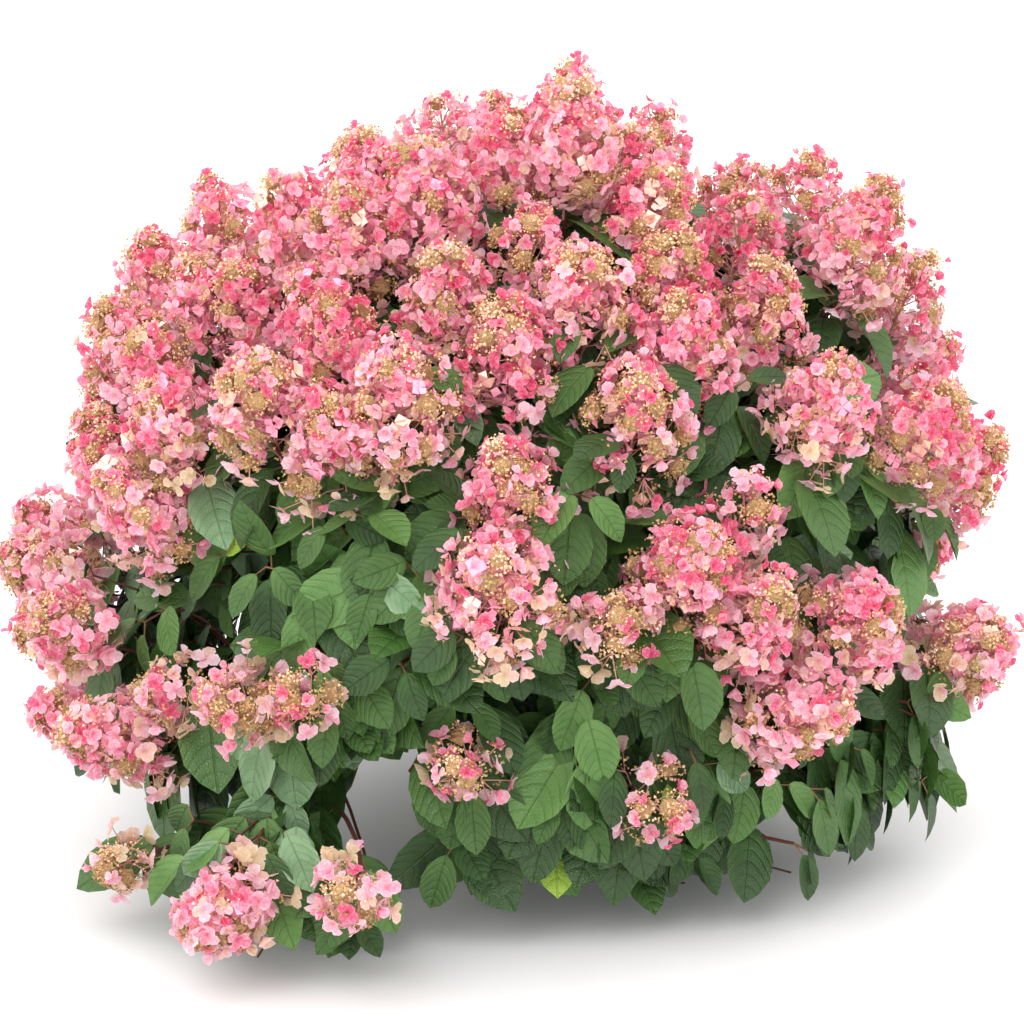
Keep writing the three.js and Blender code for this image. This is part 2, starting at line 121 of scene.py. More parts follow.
# %% [markdown]
# ## Small tools for growing
#
# Everything is planned in millimetres, as the part's source is, and turned into metres
# when a mesh is made. A place or a way is a row of three numbers, and most helpers take
# one row or thousands of rows alike. The dice give the same numbers as in the source,
# so that every flower head stands where its solid stands.

# %% Vectors, dice and bent curves
MM = 0.001
UP = np.array([0.0, 0.0, 1.0])
DICE_FACTOR, DICE_STEP, DICE_STATES = 1664525, 1013904223, 2**32


def unit(v):
    return v / np.linalg.norm(v, axis=-1, keepdims=True)


def blend(a, b, share):
    return a + (b - a) * share


def within(x):
    return np.clip(x, 0.0, 1.0)


def ramp(x, low, high):
    """Nothing up to low, one from high on, and a straight rise between them."""
    return within((x - low) / (high - low))


def column(x):
    return np.asarray(x, float)[..., None]


def dice(seed):
    """A function that gives the source's numbers from 0 to 1, one after another."""
    state = seed % DICE_STATES

    def roll():
        nonlocal state
        state = (state * DICE_FACTOR + DICE_STEP) % DICE_STATES
        return state / DICE_STATES

    return roll


def across_and_along(axis):
    """Two ways square to the axis, the first of them level."""
    across = unit(np.cross(UP, axis))
    return across, np.cross(axis, across)


def points_on(curve, t):
    """Points of a Bezier curve, given by its handles, at the places t from 0 to 1."""
    t, last = column(np.atleast_1d(t)), len(curve) - 1
    return sum(
        math.comb(last, k) * (1 - t) ** (last - k) * t**k * curve[k] for k in range(last + 1)
    )


def ways_on(curve, t):
    return unit(points_on(np.diff(curve, axis=0), t))


print("a first roll of the dice:", dice(1)())

# %% [markdown]
# ## The plan of the shrub
#
# A real hydrangea of this kind is cut back each spring to a low framework, and new shoots
# arch out from it and end in flowers. The plan follows that: each stem carries boughs,
# each bough forks into two masses, and each mass has a ring or a row of flower heads and
# some leafy shoots. The table could be drawn by chance, but then the heads wouldn't stand
# where the photograph shows them, so it gives each mass a facing in degrees round from
# the front, the height and reach of its middle, its number of heads, how far apart they
# stand, the turn of their ring, and its number of leafy shoots. Where they differ from
# the rest it gives the size of its heads too, and, for heads in a row, how small the two
# at its ends are.

# %% The table of stems, boughs and masses
masses = []


def mass(name, facing, height, reach, heads, spacing, turn, leafy, size=1, row_ends=None):
    made = SimpleNamespace(
        name=name, facing=facing, height=height, reach=reach, heads=heads, spacing=spacing,
        turn=turn, leafy=leafy, size=size, row_ends=row_ends, index=len(masses),
    )
    masses.append(made)
    return made


STEMS = [
    ("front_left", -46, [
        [mass("upper_left", -47, 703, 310, 4, 112, 40, 0),
         mass("left_front", -26, 590, 425, 4, 112, 10, 1)],
        [mass("low_left", -33, 290, 515, 3, 108, 8, 3, size=0.85, row_ends=0.65),
         mass("leafy_left", -20, 402, 476, 0, 0, 0, 6)],
        [mass("bottom_left", -30, 99, 588, 3, 167, 11, 3, size=1.15, row_ends=0.55),
         mass("out_left", -60, 250, 548, 3, 134, 90, 1)],
    ]),
    ("front", 1, [
        [mass("top_left", -31, 802, 152, 4, 112, 20, 0),
         mass("centre_top", 0, 702, 330, 4, 104, -8, 1)],
        [mass("centre", -1, 468, 480, 2, 108, 90, 4),
         mass("mid_right", 22, 434, 500, 3, 96, 30, 2, row_ends=0.65)],
        [mass("bottom_centre", 0, 206, 445, 1, 50, 150, 5, size=0.75),
         mass("bottom_right", 21, 184, 452, 1, 10, 200, 5)],
    ]),
    ("front_right", 54, [
        [mass("top_front_right", 46, 705, 300, 4, 116, 20, 1),
         mass("right_centre", 23, 612, 412, 2, 108, 50, 4)],
        [mass("right", 60, 530, 520, 3, 134, -36, 2, row_ends=1),
         mass("low_right", 38, 326, 512, 3, 118, 30, 1)],
        [mass("out_right", 69, 232, 540, 1, 45, 90, 5),
         mass("leafy_right", 50, 170, 490, 0, 0, 0, 6)],
    ]),
    ("back_right", 112, [
        [mass("top_right", 50, 832, 150, 4, 112, 0, 0),
         mass("upper_right", 84, 712, 410, 4, 114, 0, 1)],
        [mass("right_back", 100, 505, 485, 4, 118, -20, 1),
         mass("back_right_upper", 133, 676, 348, 5, 114, 10, 1)],
        [mass("right_back_low", 114, 262, 510, 3, 128, 50, 1),
         mass("back_right_low", 146, 400, 492, 4, 122, 30, 1)],
    ]),
    ("back", 172, [
        [mass("top_back", 182, 750, 215, 4, 114, 0, 1),
         mass("back_upper", 174, 590, 425, 4, 114, 30, 1)],
        [mass("back_bottom", 158, 180, 470, 2, 130, 20, 3),
         mass("back_low", -170, 345, 505, 4, 124, 60, 1)],
    ]),
    ("back_left", -108, [
        [mass("far_upper_left", -76, 652, 395, 4, 114, 10, 1),
         mass("back_left_upper", -138, 668, 362, 4, 114, 40, 1)],
        [mass("left", -59, 514, 470, 4, 112, 30, 1),
         mass("left_back", -104, 470, 455, 4, 116, 0, 1)],
        [mass("left_back_low", -92, 285, 548, 3, 120, 20, 1),
         mass("back_left_low", -140, 380, 498, 4, 122, 50, 1)],
    ]),
]
print(len(STEMS), "stems and", len(masses), "masses with", sum(m.heads for m in masses), "heads")

# %% [markdown]
# ### Each mass keeps to its own space
#
# The crown is centred on its heart, a point over the stump. A mass's space is bounded by
# the planes midway to its neighbours, which keeps twigs of different masses apart without
# any test of one shape against another. The way out of the crown is the way from the
# heart, but flatter low down, because the lowest shoots lie out over the ground.

# %% The crown's spaces
HEART = np.array([0.0, 0.0, 330.0])
UNDERSIDE = 0.45
GROUND_CLEARANCE = 14
SPACE_MARGIN = 1.2


def outward_at(place):
    out = np.array(place, float) - HEART
    out[..., 2] = np.where(out[..., 2] < 0, out[..., 2] * UNDERSIDE, out[..., 2])
    return unit(out)


def level_way(facing):
    return np.array([math.sin(math.radians(facing)), -math.cos(math.radians(facing)), 0.0])


for m in masses:
    m.middle = level_way(m.facing) * m.reach + UP * m.height
    m.outward = outward_at(m.middle)
middles = np.array([m.middle for m in masses])


def room_around(points, m):
    """How far points lie inside a mass's own space, and above the ground."""
    points = np.atleast_2d(points)
    squares = ((points[:, None] - middles) ** 2).sum(2)
    others = np.arange(len(masses)) != m.index
    apart = np.linalg.norm(middles[others] - m.middle, axis=1)
    beyond = squares[:, others] - squares[:, [m.index]]
    return np.minimum(
        (beyond / (2 * apart) - SPACE_MARGIN).min(1), points[:, 2] - GROUND_CLEARANCE
    )


room = float(room_around(middles[0], masses[0])[0])
print("room at the first mass's middle:", round(room), "mm")

# %% [markdown]
# ### Stems, boughs and the stems of the masses
#
# A stem rises from the stump and leans out. Its boughs stand side by side on its cut
# tip, in whichever order and turn keeps them shortest while none touches another, and
# each ends at its fork. These are the same curves as the solids follow, so bark laid
# along them meets the solids' ends.

# %% Curves of the wood
STUMP_HEIGHT = 58
STEM_RING, STEM_RISE, STEM_REACH = 46, 112, 98
STEM_RADII = (17, 15)
STEM_RISES = (0.94, 1.12)
BOUGH_RADII = (6.5, 5.2)
MASS_STEM_RADII = (3.8, 3.4)
JOINT_GAP = 0.3
LIMB_CLEARANCE = 1.5
FORK_DEPTH = 265
STEM_TIP_DEPTH = 150
BOUGH_STRAIGHT = (0.32, 0.34)
MASS_STEM_STRAIGHT = 0.4
BOUGH_TURNS = 12


def plan_fork(pair):
    between = unit(pair[1].middle - pair[0].middle)
    halfway = (pair[0].middle + pair[1].middle) * 0.5
    out = outward_at(halfway)
    out = unit(out - between * (out @ between))
    return SimpleNamespace(tip=halfway - out * FORK_DEPTH, out=out, between=between)


def stem_curve(facing, number):
    out, rise = level_way(facing), STEM_RISE * STEM_RISES[number % 2]
    foot = out * STEM_RING + UP * (STUMP_HEIGHT + JOINT_GAP)
    return np.array([foot, foot + UP * 0.5 * rise, out * STEM_REACH + UP * (STUMP_HEIGHT + rise)])


def bough_curve(tip, direction, turn, fork):
    across, along = across_and_along(direction)
    offset = STEM_RADII[1] - BOUGH_RADII[0] + JOINT_GAP
    aside = across * math.cos(turn) + along * math.sin(turn)
    foot = tip + direction * JOINT_GAP + offset * aside
    far = np.linalg.norm(fork.tip - foot)
    return np.array([
        foot, foot + direction * BOUGH_STRAIGHT[0] * far,
        fork.tip - fork.out * BOUGH_STRAIGHT[1] * far, fork.tip,
    ])


def are_apart(curves):
    rows = [points_on(curve, np.linspace(0, 1, 41)) for curve in curves]
    least = 2 * BOUGH_RADII[0] + LIMB_CLEARANCE
    return all(
        (np.linalg.norm(a[:, None] - b, axis=2) > least).all() for a, b in combinations(rows, 2)
    )


def bough_curves(tip, direction, forks):
    best, shortest = None, math.inf
    for order in permutations(range(len(forks))):
        for start in range(BOUGH_TURNS):
            turns = [2 * math.pi * (start / BOUGH_TURNS + k / len(forks)) for k in order]
            curves = [bough_curve(tip, direction, t, fork) for t, fork in zip(turns, forks)]
            rows = [points_on(curve, np.linspace(0, 1, 201)) for curve in curves]
            length = sum(np.linalg.norm(np.diff(row, axis=0), axis=1).sum() for row in rows)
            if length < shortest and are_apart(curves):
                best, shortest = curves, length
    return best


def mass_stem_curve(m, fork, side):
    offset = side * (MASS_STEM_RADII[0] + JOINT_GAP)
    foot = fork.tip + fork.out * JOINT_GAP + fork.between * offset
    tip = m.middle - m.outward * STEM_TIP_DEPTH
    straight = MASS_STEM_STRAIGHT * np.linalg.norm(tip - foot)
    return np.array([foot, foot + fork.out * straight, tip])


stem_lines, bough_lines = [], []
for number, (name, facing, boughs) in enumerate(STEMS):
    line = stem_curve(facing, number)
    stem_lines.append(line)
    forks = [plan_fork(pair) for pair in boughs]
    lines = bough_curves(line[-1], ways_on(line, 1)[0], forks)
    bough_lines += lines
    for pair, fork in zip(boughs, forks):
        for m, side in zip(pair, (-1, 1)):
            m.stem = mass_stem_curve(m, fork, side)
print(len(stem_lines), "stems and", len(bough_lines), "boughs")

# %% [markdown]
# ### Shoots
#
# The shoots of a mass leave its stem one after another, those that end furthest to the
# side lowest down, and bend round to their own way. A shoot that bears flowers ends in a
# head's foot. One without room is drawn in towards the mass's axis. Heads reach up more
# the higher they stand, and in the photograph a little more than the solids' do, so here
# each is turned up about its foot once its shoot has grown.

# %% Shoots with heads, and leafy shoots
SEED = 20260
HEAD_LENGTH, HEAD_WIDTH = 165, 130
HEAD_SIZES = (0.74, 1.08)
CROWN_ROUND = 520
LEAFY_RING = 118
LEAFY_DEPTH_UNDER_HEADS, LEAFY_DEPTH_IN_THE_OPEN = 62, 22
GOLDEN_TURN, TURN_VARIES = 2.4, 0.3
SHOOT_STARTS = (0.97, 0.4)
SHOOT_IN_HEAD = 28
SHOOT_STRAIGHT = 0.52
SEED_STEP = 7919
HEAD_JITTER, LEAFY_JITTER = (9, 0.14, 20), (8, 0.2, 12)  # of the ring, the angle, the depth
HEAD_LIFT, HEAD_LIFT_HEIGHTS = (0.05, 0.85), (120, 600)
HEAD_LIFT_JITTER, HEAD_SWAY = 0.12, 0.2
LEAFY_TURN, LEAFY_LIFT, LEAFY_LIFT_JITTER, LEAFY_SWAY = 45, 0.25, 0.2, 0.3
ROOM_TRIES, DRAWN_IN = 6, 0.2
HEAD_RISE, HEAD_RISE_HEIGHTS = 0.45, (150, 550)


def place_in_mass(m, i):
    if m.heads == 1:
        return m.spacing, 0, m.size
    if m.row_ends:
        step = i - (m.heads - 1) / 2
        return step * m.spacing, 0, m.size * (1 if step == 0 else m.row_ends)
    return m.spacing / (2 * math.sin(math.pi / m.heads)), 2 * math.pi * i / m.heads, m.size


def spot_in_mass(m, ring, angle, depth):
    across, along = across_and_along(m.outward)
    sunk = depth + ring * ring / (2 * CROWN_ROUND)
    aside = across * ring * math.cos(angle)
    return m.middle + aside + along * ring * math.sin(angle) - m.outward * sunk


def plan_shoots(m):
    roll = dice(SEED + SEED_STEP * m.index)
    across = across_and_along(m.outward)[0]
    shoots = []

    def jitter(size):
        return (roll() - 0.5) * 2 * size

    for i in range(m.heads):
        ring, angle, share = place_in_mass(m, i)
        ring = ring + jitter(HEAD_JITTER[0])
        angle = math.radians(m.turn) + angle + jitter(HEAD_JITTER[1])
        spot = spot_in_mass(m, ring, angle, jitter(HEAD_JITTER[2]))
        size = share * blend(*HEAD_SIZES, roll())
        lift = blend(*HEAD_LIFT, ramp(spot[2], *HEAD_LIFT_HEIGHTS)) + jitter(HEAD_LIFT_JITTER)
        axis = unit(outward_at(spot) + UP * lift + across * jitter(HEAD_SWAY))
        end = spot - axis * 0.5 * HEAD_LENGTH * size
        shoots.append(SimpleNamespace(bears_head=True, size=size, axis=axis, end=end))
    depth = LEAFY_DEPTH_UNDER_HEADS if m.heads > 2 else LEAFY_DEPTH_IN_THE_OPEN
    for i in range(m.leafy):
        ring = LEAFY_RING * math.sqrt((i + 0.5) / m.leafy) + jitter(LEAFY_JITTER[0])
        angle = math.radians(m.turn + LEAFY_TURN) + i * GOLDEN_TURN + jitter(LEAFY_JITTER[1])
        spot = spot_in_mass(m, ring, angle, depth + jitter(LEAFY_JITTER[2]))
        lift = LEAFY_LIFT + jitter(LEAFY_LIFT_JITTER)
        axis = unit(outward_at(spot) + UP * lift + across * jitter(LEAFY_SWAY))
        shoots.append(SimpleNamespace(bears_head=False, axis=axis, end=spot))
    return shoots


def shoot_curve(shoot, start):
    end = shoot.end + shoot.axis * (SHOOT_IN_HEAD if shoot.bears_head else 0)
    straight = SHOOT_STRAIGHT * np.linalg.norm(end - start)
    return np.array([start, end - shoot.axis * straight, end])


def shoot_with_room(m, shoot, start_share):
    start = points_on(m.stem, start_share)[0]
    for _ in range(ROOM_TRIES):
        curve = shoot_curve(shoot, start)
        if (room_around(points_on(curve, [0.5, 1]), m) > MASS_STEM_RADII[0]).all():
            return curve
        level = (shoot.end - m.middle) @ m.outward
        shoot.end = blend(shoot.end, m.middle + m.outward * level, DRAWN_IN)
    return None


def grow_shoots(m):
    shoots = plan_shoots(m)
    for shoot in shoots:
        beside = shoot.end - m.stem[-1]
        shoot.sideways = np.linalg.norm(beside - m.outward * (beside @ m.outward))
    for shoot in shoots:
        rank = sum(other.sideways < shoot.sideways for other in shoots) / len(shoots)
        shoot.curve = shoot_with_room(m, shoot, blend(*SHOOT_STARTS, rank))
        shoot.mass = m
    return [shoot for shoot in shoots if shoot.curve is not None]


shoots = [shoot for m in masses for shoot in grow_shoots(m)]
heads = [shoot for shoot in shoots if shoot.bears_head]
for head in heads:
    rise = HEAD_RISE * ramp(head.end[2], *HEAD_RISE_HEIGHTS)
    head.axis = unit(head.axis + UP * rise)
    head.middle = head.end + head.axis * 0.5 * HEAD_LENGTH * head.size
print(len(shoots), "shoots, of which", len(heads), "bear a head")

# %% [markdown]
# ### Finer shoots
#
# The solids stop at the shoots that matter for the outline. On the real shrub each mass
# also has weaker leafy side shoots below its flowers, and they are what closes the view
# into the crown. They could be scattered leaves, but leaves need something to grow on,
# so each side shoot leaves the mass's stem and ends at its own spot within the mass's
# space, at any depth below the flowers. Between the lowest masses the photograph shows
# open air, and a side shoot that would end there is left out.

# %% Leafy side shoots
SIDE_SHOOTS_UNDER_HEADS, DEPTHS_UNDER_HEADS = 9, (6, 165)
SIDE_SHOOTS_IN_THE_OPEN, DEPTHS_IN_THE_OPEN = 13, (5, 130)
SIDE_SHOOT_RING, SIDE_SHOOT_TURN = 165, 1.1
SIDE_SHOOT_STARTS, SIDE_SHOOT_LIFT, SIDE_SHOOT_SWAY = (0.15, 0.85), (-0.1, 0.5), 0.25
SIDE_SHOOT_TIP = (0.7, 1)  # the places along it that must not lie in open air

OPEN_AIR = [  # (near end, far end, radius) of gaps between the lowest masses
    ((-140, -470, 170), (-148, -200, 85), 62),
    ((-470, -400, 160), (-440, -250, 110), 42),
    ((300, -440, 130), (300, -200, 70), 36),
]

chance = np.random.default_rng(SEED)


def in_open_air(points):
    """Whether each point lies in one of the gaps, which are rods with round ends."""
    inside = np.zeros(len(points), bool)
    for near, far, radius in OPEN_AIR:
        near, run = np.array(near, float), np.subtract(far, near)
        share = within((points - near) @ run / (run @ run))
        inside |= np.linalg.norm(points - near - column(share) * run, axis=1) < radius
    return inside


def grow_side_shoots(m):
    grown = []
    crowded = m.heads > 2
    count = SIDE_SHOOTS_UNDER_HEADS if crowded else SIDE_SHOOTS_IN_THE_OPEN
    depths = DEPTHS_UNDER_HEADS if crowded else DEPTHS_IN_THE_OPEN
    for i in range(count):
        ring = SIDE_SHOOT_RING * math.sqrt((i + 0.5) / count)
        angle = math.radians(m.turn) + SIDE_SHOOT_TURN + i * GOLDEN_TURN
        angle += chance.uniform(-TURN_VARIES, TURN_VARIES)
        spot = spot_in_mass(m, ring, angle, chance.uniform(*depths))
        up, sway = UP * chance.uniform(*SIDE_SHOOT_LIFT), chance.normal(0, SIDE_SHOOT_SWAY, 3)
        axis = unit(outward_at(spot) + up + sway)
        shoot = SimpleNamespace(bears_head=False, axis=axis, end=spot, mass=m)
        shoot.curve = shoot_with_room(m, shoot, chance.uniform(*SIDE_SHOOT_STARTS))
        if shoot.curve is None or in_open_air(points_on(shoot.curve, SIDE_SHOOT_TIP)).any():
            continue
        grown.append(shoot)
    return grown


side_shoots = [shoot for m in masses for shoot in grow_side_shoots(m)]
print(len(side_shoots), "side shoots")

# %% [markdown]
# ## Making meshes
#
# Thousands of leaves and sepals are best laid down as arrays of corners and joined at
# once: each may then have its own length, bend and cup. Twigs and bark follow a path, so
# Geometry Nodes sweep a ring along it. A helper adds a node and fills its sockets, and
# another puts a finished tree's result in place of the bare mesh that it started from.

# %% Meshes from arrays, and node helpers
UV_MAP = "OFBake"  # a leaf's own coordinates, which the export bakes through


def mesh_from(name, points, faces, uv=None, paint=None, smooth=True):
    mesh = bpy.data.meshes.new(name)
    mesh.vertices.add(len(points))
    mesh.vertices.foreach_set("co", np.ascontiguousarray(points * MM, np.float32).ravel())
    mesh.loops.add(faces.size)
    mesh.loops.foreach_set("vertex_index", faces.astype(np.int32).ravel())
    mesh.polygons.add(len(faces))
    starts = np.arange(0, faces.size, faces.shape[1], dtype=np.int32)
    mesh.polygons.foreach_set("loop_start", starts)
    mesh.polygons.foreach_set("use_smooth", np.full(len(faces), smooth))
    if uv is not None:
        layer = mesh.uv_layers.new(name=UV_MAP)
        layer.uv.foreach_set("vector", uv[faces.ravel()].astype(np.float32).ravel())
    if paint is not None:
        mesh.materials.append(paint)
    mesh.update(calc_edges=True)
    mesh.validate()
    made = bpy.data.objects.new(name, mesh)
    bpy.context.scene.collection.objects.link(made)
    return made


def put(socket, value):
    if isinstance(value, bpy.types.NodeSocket):
        socket.id_data.links.new(value, socket)
    elif value is not None:
        socket.default_value = value


def add(tree, kind, *values, **settings):
    """A new node, with its settings and then its first sockets filled in order."""
    node = tree.nodes.new(kind)
    for key, value in settings.items():
        setattr(node, key, value)
    for socket, value in zip([s for s in node.inputs if s.enabled], values):
        put(socket, value)
    return node


def calc(tree, operation, *values):
    return add(tree, "ShaderNodeMath", *values, operation=operation).outputs[0]


def chosen_output(node):
    """The output that is in use of a node that keeps one for each kind of value."""
    return [socket for socket in node.outputs if socket.enabled][0]


def remap(tree, value, *ends):
    """The value carried from its own two ends to two others."""
    return add(tree, "ShaderNodeMapRange", value, *ends).outputs[0]


def noise_at(tree, place, scale, detail, **settings):
    noise = add(tree, "ShaderNodeTexNoise", **settings)
    for label, value in (("Vector", place), ("Scale", scale), ("Detail", detail)):
        put(noise.inputs[label], value)
    return noise.outputs[0]


def stretched(tree, place, stretch):
    """The place with its height squashed, so that a pattern on it is drawn out upwards."""
    squash = add(tree, "ShaderNodeCombineXYZ", 1.0, 1.0, stretch).outputs[0]
    return add(tree, "ShaderNodeVectorMath", place, squash, operation="MULTIPLY").outputs[0]


def new_tree(name, kind, inputs, outputs):
    """A node group with named inputs, given as (kind of socket, start value), and outputs."""
    tree = bpy.data.node_groups.new(name, kind)
    for label, (socket, start) in inputs.items():
        made = tree.interface.new_socket(label, in_out="INPUT", socket_type="NodeSocket" + socket)
        if start is not None:
            made.default_value = start
    for label, socket in outputs.items():
        tree.interface.new_socket(label, in_out="OUTPUT", socket_type="NodeSocket" + socket)
    given, result = tree.nodes.new("NodeGroupInput"), tree.nodes.new("NodeGroupOutput")
    return tree, given.outputs, result.inputs


def run_nodes(host, tree, **sizes):
    """Turns the host into the plain mesh that the tree makes from it."""
    modifier = host.modifiers.new(tree.name, "NODES")
    modifier.node_group = tree
    for item in tree.interface.items_tree:
        if item.in_out == "INPUT" and item.name in sizes:
            modifier[item.identifier] = sizes[item.name]
    evaluated = host.evaluated_get(bpy.context.evaluated_depsgraph_get())
    made = bpy.data.meshes.new_from_object(evaluated)
    host.modifiers.remove(modifier)
    host.data = made
    return host


def settle(piece, nodes=MASS_NODES):
    """The piece rides on the plant's one body, and the nodes it takes the place of are hidden."""
    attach(piece, "root")
    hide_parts(*nodes)
    piece.data.calc_loop_triangles()
    print(piece.name + ":", len(piece.data.loop_triangles), "triangles")


print("helpers are ready")

# %% [markdown]
# ### A tube along a path, with or without the relief of bark
#
# A twig could be a curve with a bevel, but then its bark would be as smooth as a pipe.
# The tree sweeps a ring along each path, as thick as the path's own numbers say, and
# moves the skin in and out by a stretched noise, so that it has furrows along its
# length. A depth of nothing leaves the tube smooth, so twigs and stalks use it as well.

# %% Node trees for relief and tubes
relief_tree, given, result = new_tree(
    "Bark relief", "GeometryNodeTree",
    {"Geometry": ("Geometry", None), "Depth": ("Float", 0.001), "Grain": ("Float", 60.0),
     "Stretch": ("Float", 0.16), "Bare below": ("Float", 0.004)},
    {"Geometry": "Geometry"},
)
where = add(relief_tree, "GeometryNodeInputPosition").outputs[0]
noise = noise_at(relief_tree, stretched(relief_tree, where, given["Stretch"]), given["Grain"], 3.0)
height = add(relief_tree, "ShaderNodeSeparateXYZ", where).outputs["Z"]
above = remap(relief_tree, height, 0.0, given["Bare below"], 0.0, 1.0)
in_or_out = calc(relief_tree, "SUBTRACT", noise, 0.5)
amount = calc(relief_tree, "MULTIPLY", in_or_out, given["Depth"])
amount = calc(relief_tree, "MULTIPLY", amount, above)
skin = add(relief_tree, "GeometryNodeInputNormal").outputs[0]
push = add(relief_tree, "ShaderNodeVectorMath", operation="SCALE")
put(push.inputs["Vector"], skin)
put(push.inputs["Scale"], amount)
moved = add(relief_tree, "GeometryNodeSetPosition", given["Geometry"])
put(moved.inputs["Offset"], push.outputs[0])
put(result["Geometry"], moved.outputs[0])

tube_tree, given, result = new_tree(
    "Tubes along paths", "GeometryNodeTree",
    {"Geometry": ("Geometry", None), "Sides": ("Int", 4), "Relief": ("Float", 0.0),
     "Grain": ("Float", 60.0), "Paint": ("Material", None)},
    {"Geometry": "Geometry"},
)
path = add(tube_tree, "GeometryNodeMeshToCurve", given["Geometry"]).outputs[0]
thick = add(tube_tree, "GeometryNodeInputNamedAttribute", "thickness", data_type="FLOAT")
ring = add(tube_tree, "GeometryNodeCurvePrimitiveCircle", given["Sides"])
put(ring.inputs["Radius"], 1.0)
sweep = add(tube_tree, "GeometryNodeCurveToMesh", path, ring.outputs[0], thick.outputs[0], True)
relief = add(tube_tree, "GeometryNodeGroup", node_tree=relief_tree)
put(relief.inputs["Geometry"], sweep.outputs[0])
put(relief.inputs["Depth"], given["Relief"])
put(relief.inputs["Grain"], given["Grain"])
even = add(tube_tree, "GeometryNodeSetShadeSmooth", relief.outputs[0]).outputs[0]
painted = add(tube_tree, "GeometryNodeSetMaterial", even)
put(painted.inputs["Material"], given["Paint"])
whole = add(tube_tree, "GeometryNodeRealizeInstances", painted.outputs[0])
put(result["Geometry"], whole.outputs[0])


def tubes(name, groups, paint, sides, relief=0.0, grain=60.0):
    """One piece of tubes. Each group has its limbs' paths, all with as many points, and
    the radii along one path. The limbs of one piece all have as many points."""
    runs = np.concatenate([paths for paths, _ in groups])
    radii = np.concatenate([np.broadcast_to(r, paths.shape[:2]) for paths, r in groups])
    limbs, steps = radii.shape
    host = mesh_from(name, runs.reshape(-1, 3), np.zeros((0, 3), int))
    starts = (np.arange(limbs)[:, None] * steps + np.arange(steps - 1)).ravel()
    edges = np.stack([starts, starts + 1], 1).astype(np.int32)
    host.data.edges.add(len(edges))
    host.data.edges.foreach_set("vertices", edges.ravel())
    thickness = host.data.attributes.new("thickness", "FLOAT", "POINT")
    thickness.data.foreach_set("value", (radii * MM).astype(np.float32).ravel())
    return run_nodes(host, tube_tree, Sides=sides, Relief=relief, Grain=grain, Paint=paint)


print("node trees:", [tree.name for tree in bpy.data.node_groups])

# %% [markdown]
# ## Bark
#
# The stump is old wood, grey-brown and furrowed; the stems are paler and split; the
# boughs are red-brown and nearly smooth. One shader group gives all three their streaks:
# noise stretched along the height, as a mask that each bark uses with its own colours.

# %% The colour of bark
def colour(code):
    """A colour from its six-figure code, as the shader's linear numbers."""
    parts = [int(code[i:i + 2], 16) / 255 for i in (1, 3, 5)]
    return tuple(x / 12.92 if x < 0.04045 else ((x + 0.055) / 1.055) ** 2.4 for x in parts) + (1,)


def mixed(tree, share, one, other):
    """Between one colour and another, each given by its code or by a socket."""
    ends = [colour(end) if isinstance(end, str) else end for end in (one, other)]
    return chosen_output(add(tree, "ShaderNodeMix", share, *ends, data_type="RGBA"))


def new_paint(name, colouring=None, roughness=0.5):
    """A material with its nodes and its main shader."""
    paint = bpy.data.materials.new(name)
    paint.use_nodes = True
    shader = paint.node_tree.nodes["Principled BSDF"]
    put(shader.inputs["Base Color"], colouring and colour(colouring))
    put(shader.inputs["Roughness"], roughness)
    return paint, paint.node_tree, shader


def give_relief(tree, shader, strength, depth, height):
    bump = add(tree, "ShaderNodeBump")
    for label, value in (("Strength", strength), ("Distance", depth), ("Height", height)):
        put(bump.inputs[label], value)
    put(shader.inputs["Normal"], bump.outputs[0])


streaks, given, result = new_tree(
    "Bark streaks", "ShaderNodeTree",
    {"Place": ("Vector", None), "Grain": ("Float", 90.0), "Stretch": ("Float", 0.12)},
    {"Streak": "Float", "Height": "Float"},
)
noise = noise_at(streaks, stretched(streaks, given["Place"], given["Stretch"]), given["Grain"], 4.0)
put(result["Streak"], remap(streaks, noise, 0.35, 0.65, 0.0, 1.0))
put(result["Height"], noise)


def bark(name, dark, light, grain, roughness):
    paint, tree, shader = new_paint(name, roughness=roughness)
    group = add(tree, "ShaderNodeGroup", node_tree=streaks)
    put(group.inputs["Place"], add(tree, "ShaderNodeTexCoord").outputs["Object"])
    put(group.inputs["Grain"], grain)
    put(shader.inputs["Base Color"], mixed(tree, group.outputs["Streak"], dark, light))
    give_relief(tree, shader, 0.5, 0.001, group.outputs["Height"])
    return paint


old_bark = bark("old bark", "#4B3F35", "#8C7B6A", 90.0, 0.95)
stem_bark = bark("stem bark", "#5A4636", "#9A846C", 120.0, 0.9)
bough_bark = bark("bough bark", "#3E2A20", "#7A5742", 160.0, 0.8)
print("barks:", old_bark.name, stem_bark.name, bough_bark.name)

# %% [markdown]
# ## The stump, the stems and the boughs
#
# The stump is turned like a bowl from a profile, then pulled out into seven root flares
# that fade towards its top. Its foot is cut flat at the ground. Stems and boughs are
# tubes along the plan's curves.

# %% The stump
STUMP_PROFILE = [(98, 0), (92, 8), (84, 18), (80, 26), (77, 38), (74, 50), (71, 55), (66, 58)]
FLARES, FLARE_DEPTH = 7, 0.12
STUMP_SEGMENTS = 84
STUMP_TOP_RINGS = (52, 36, 18)

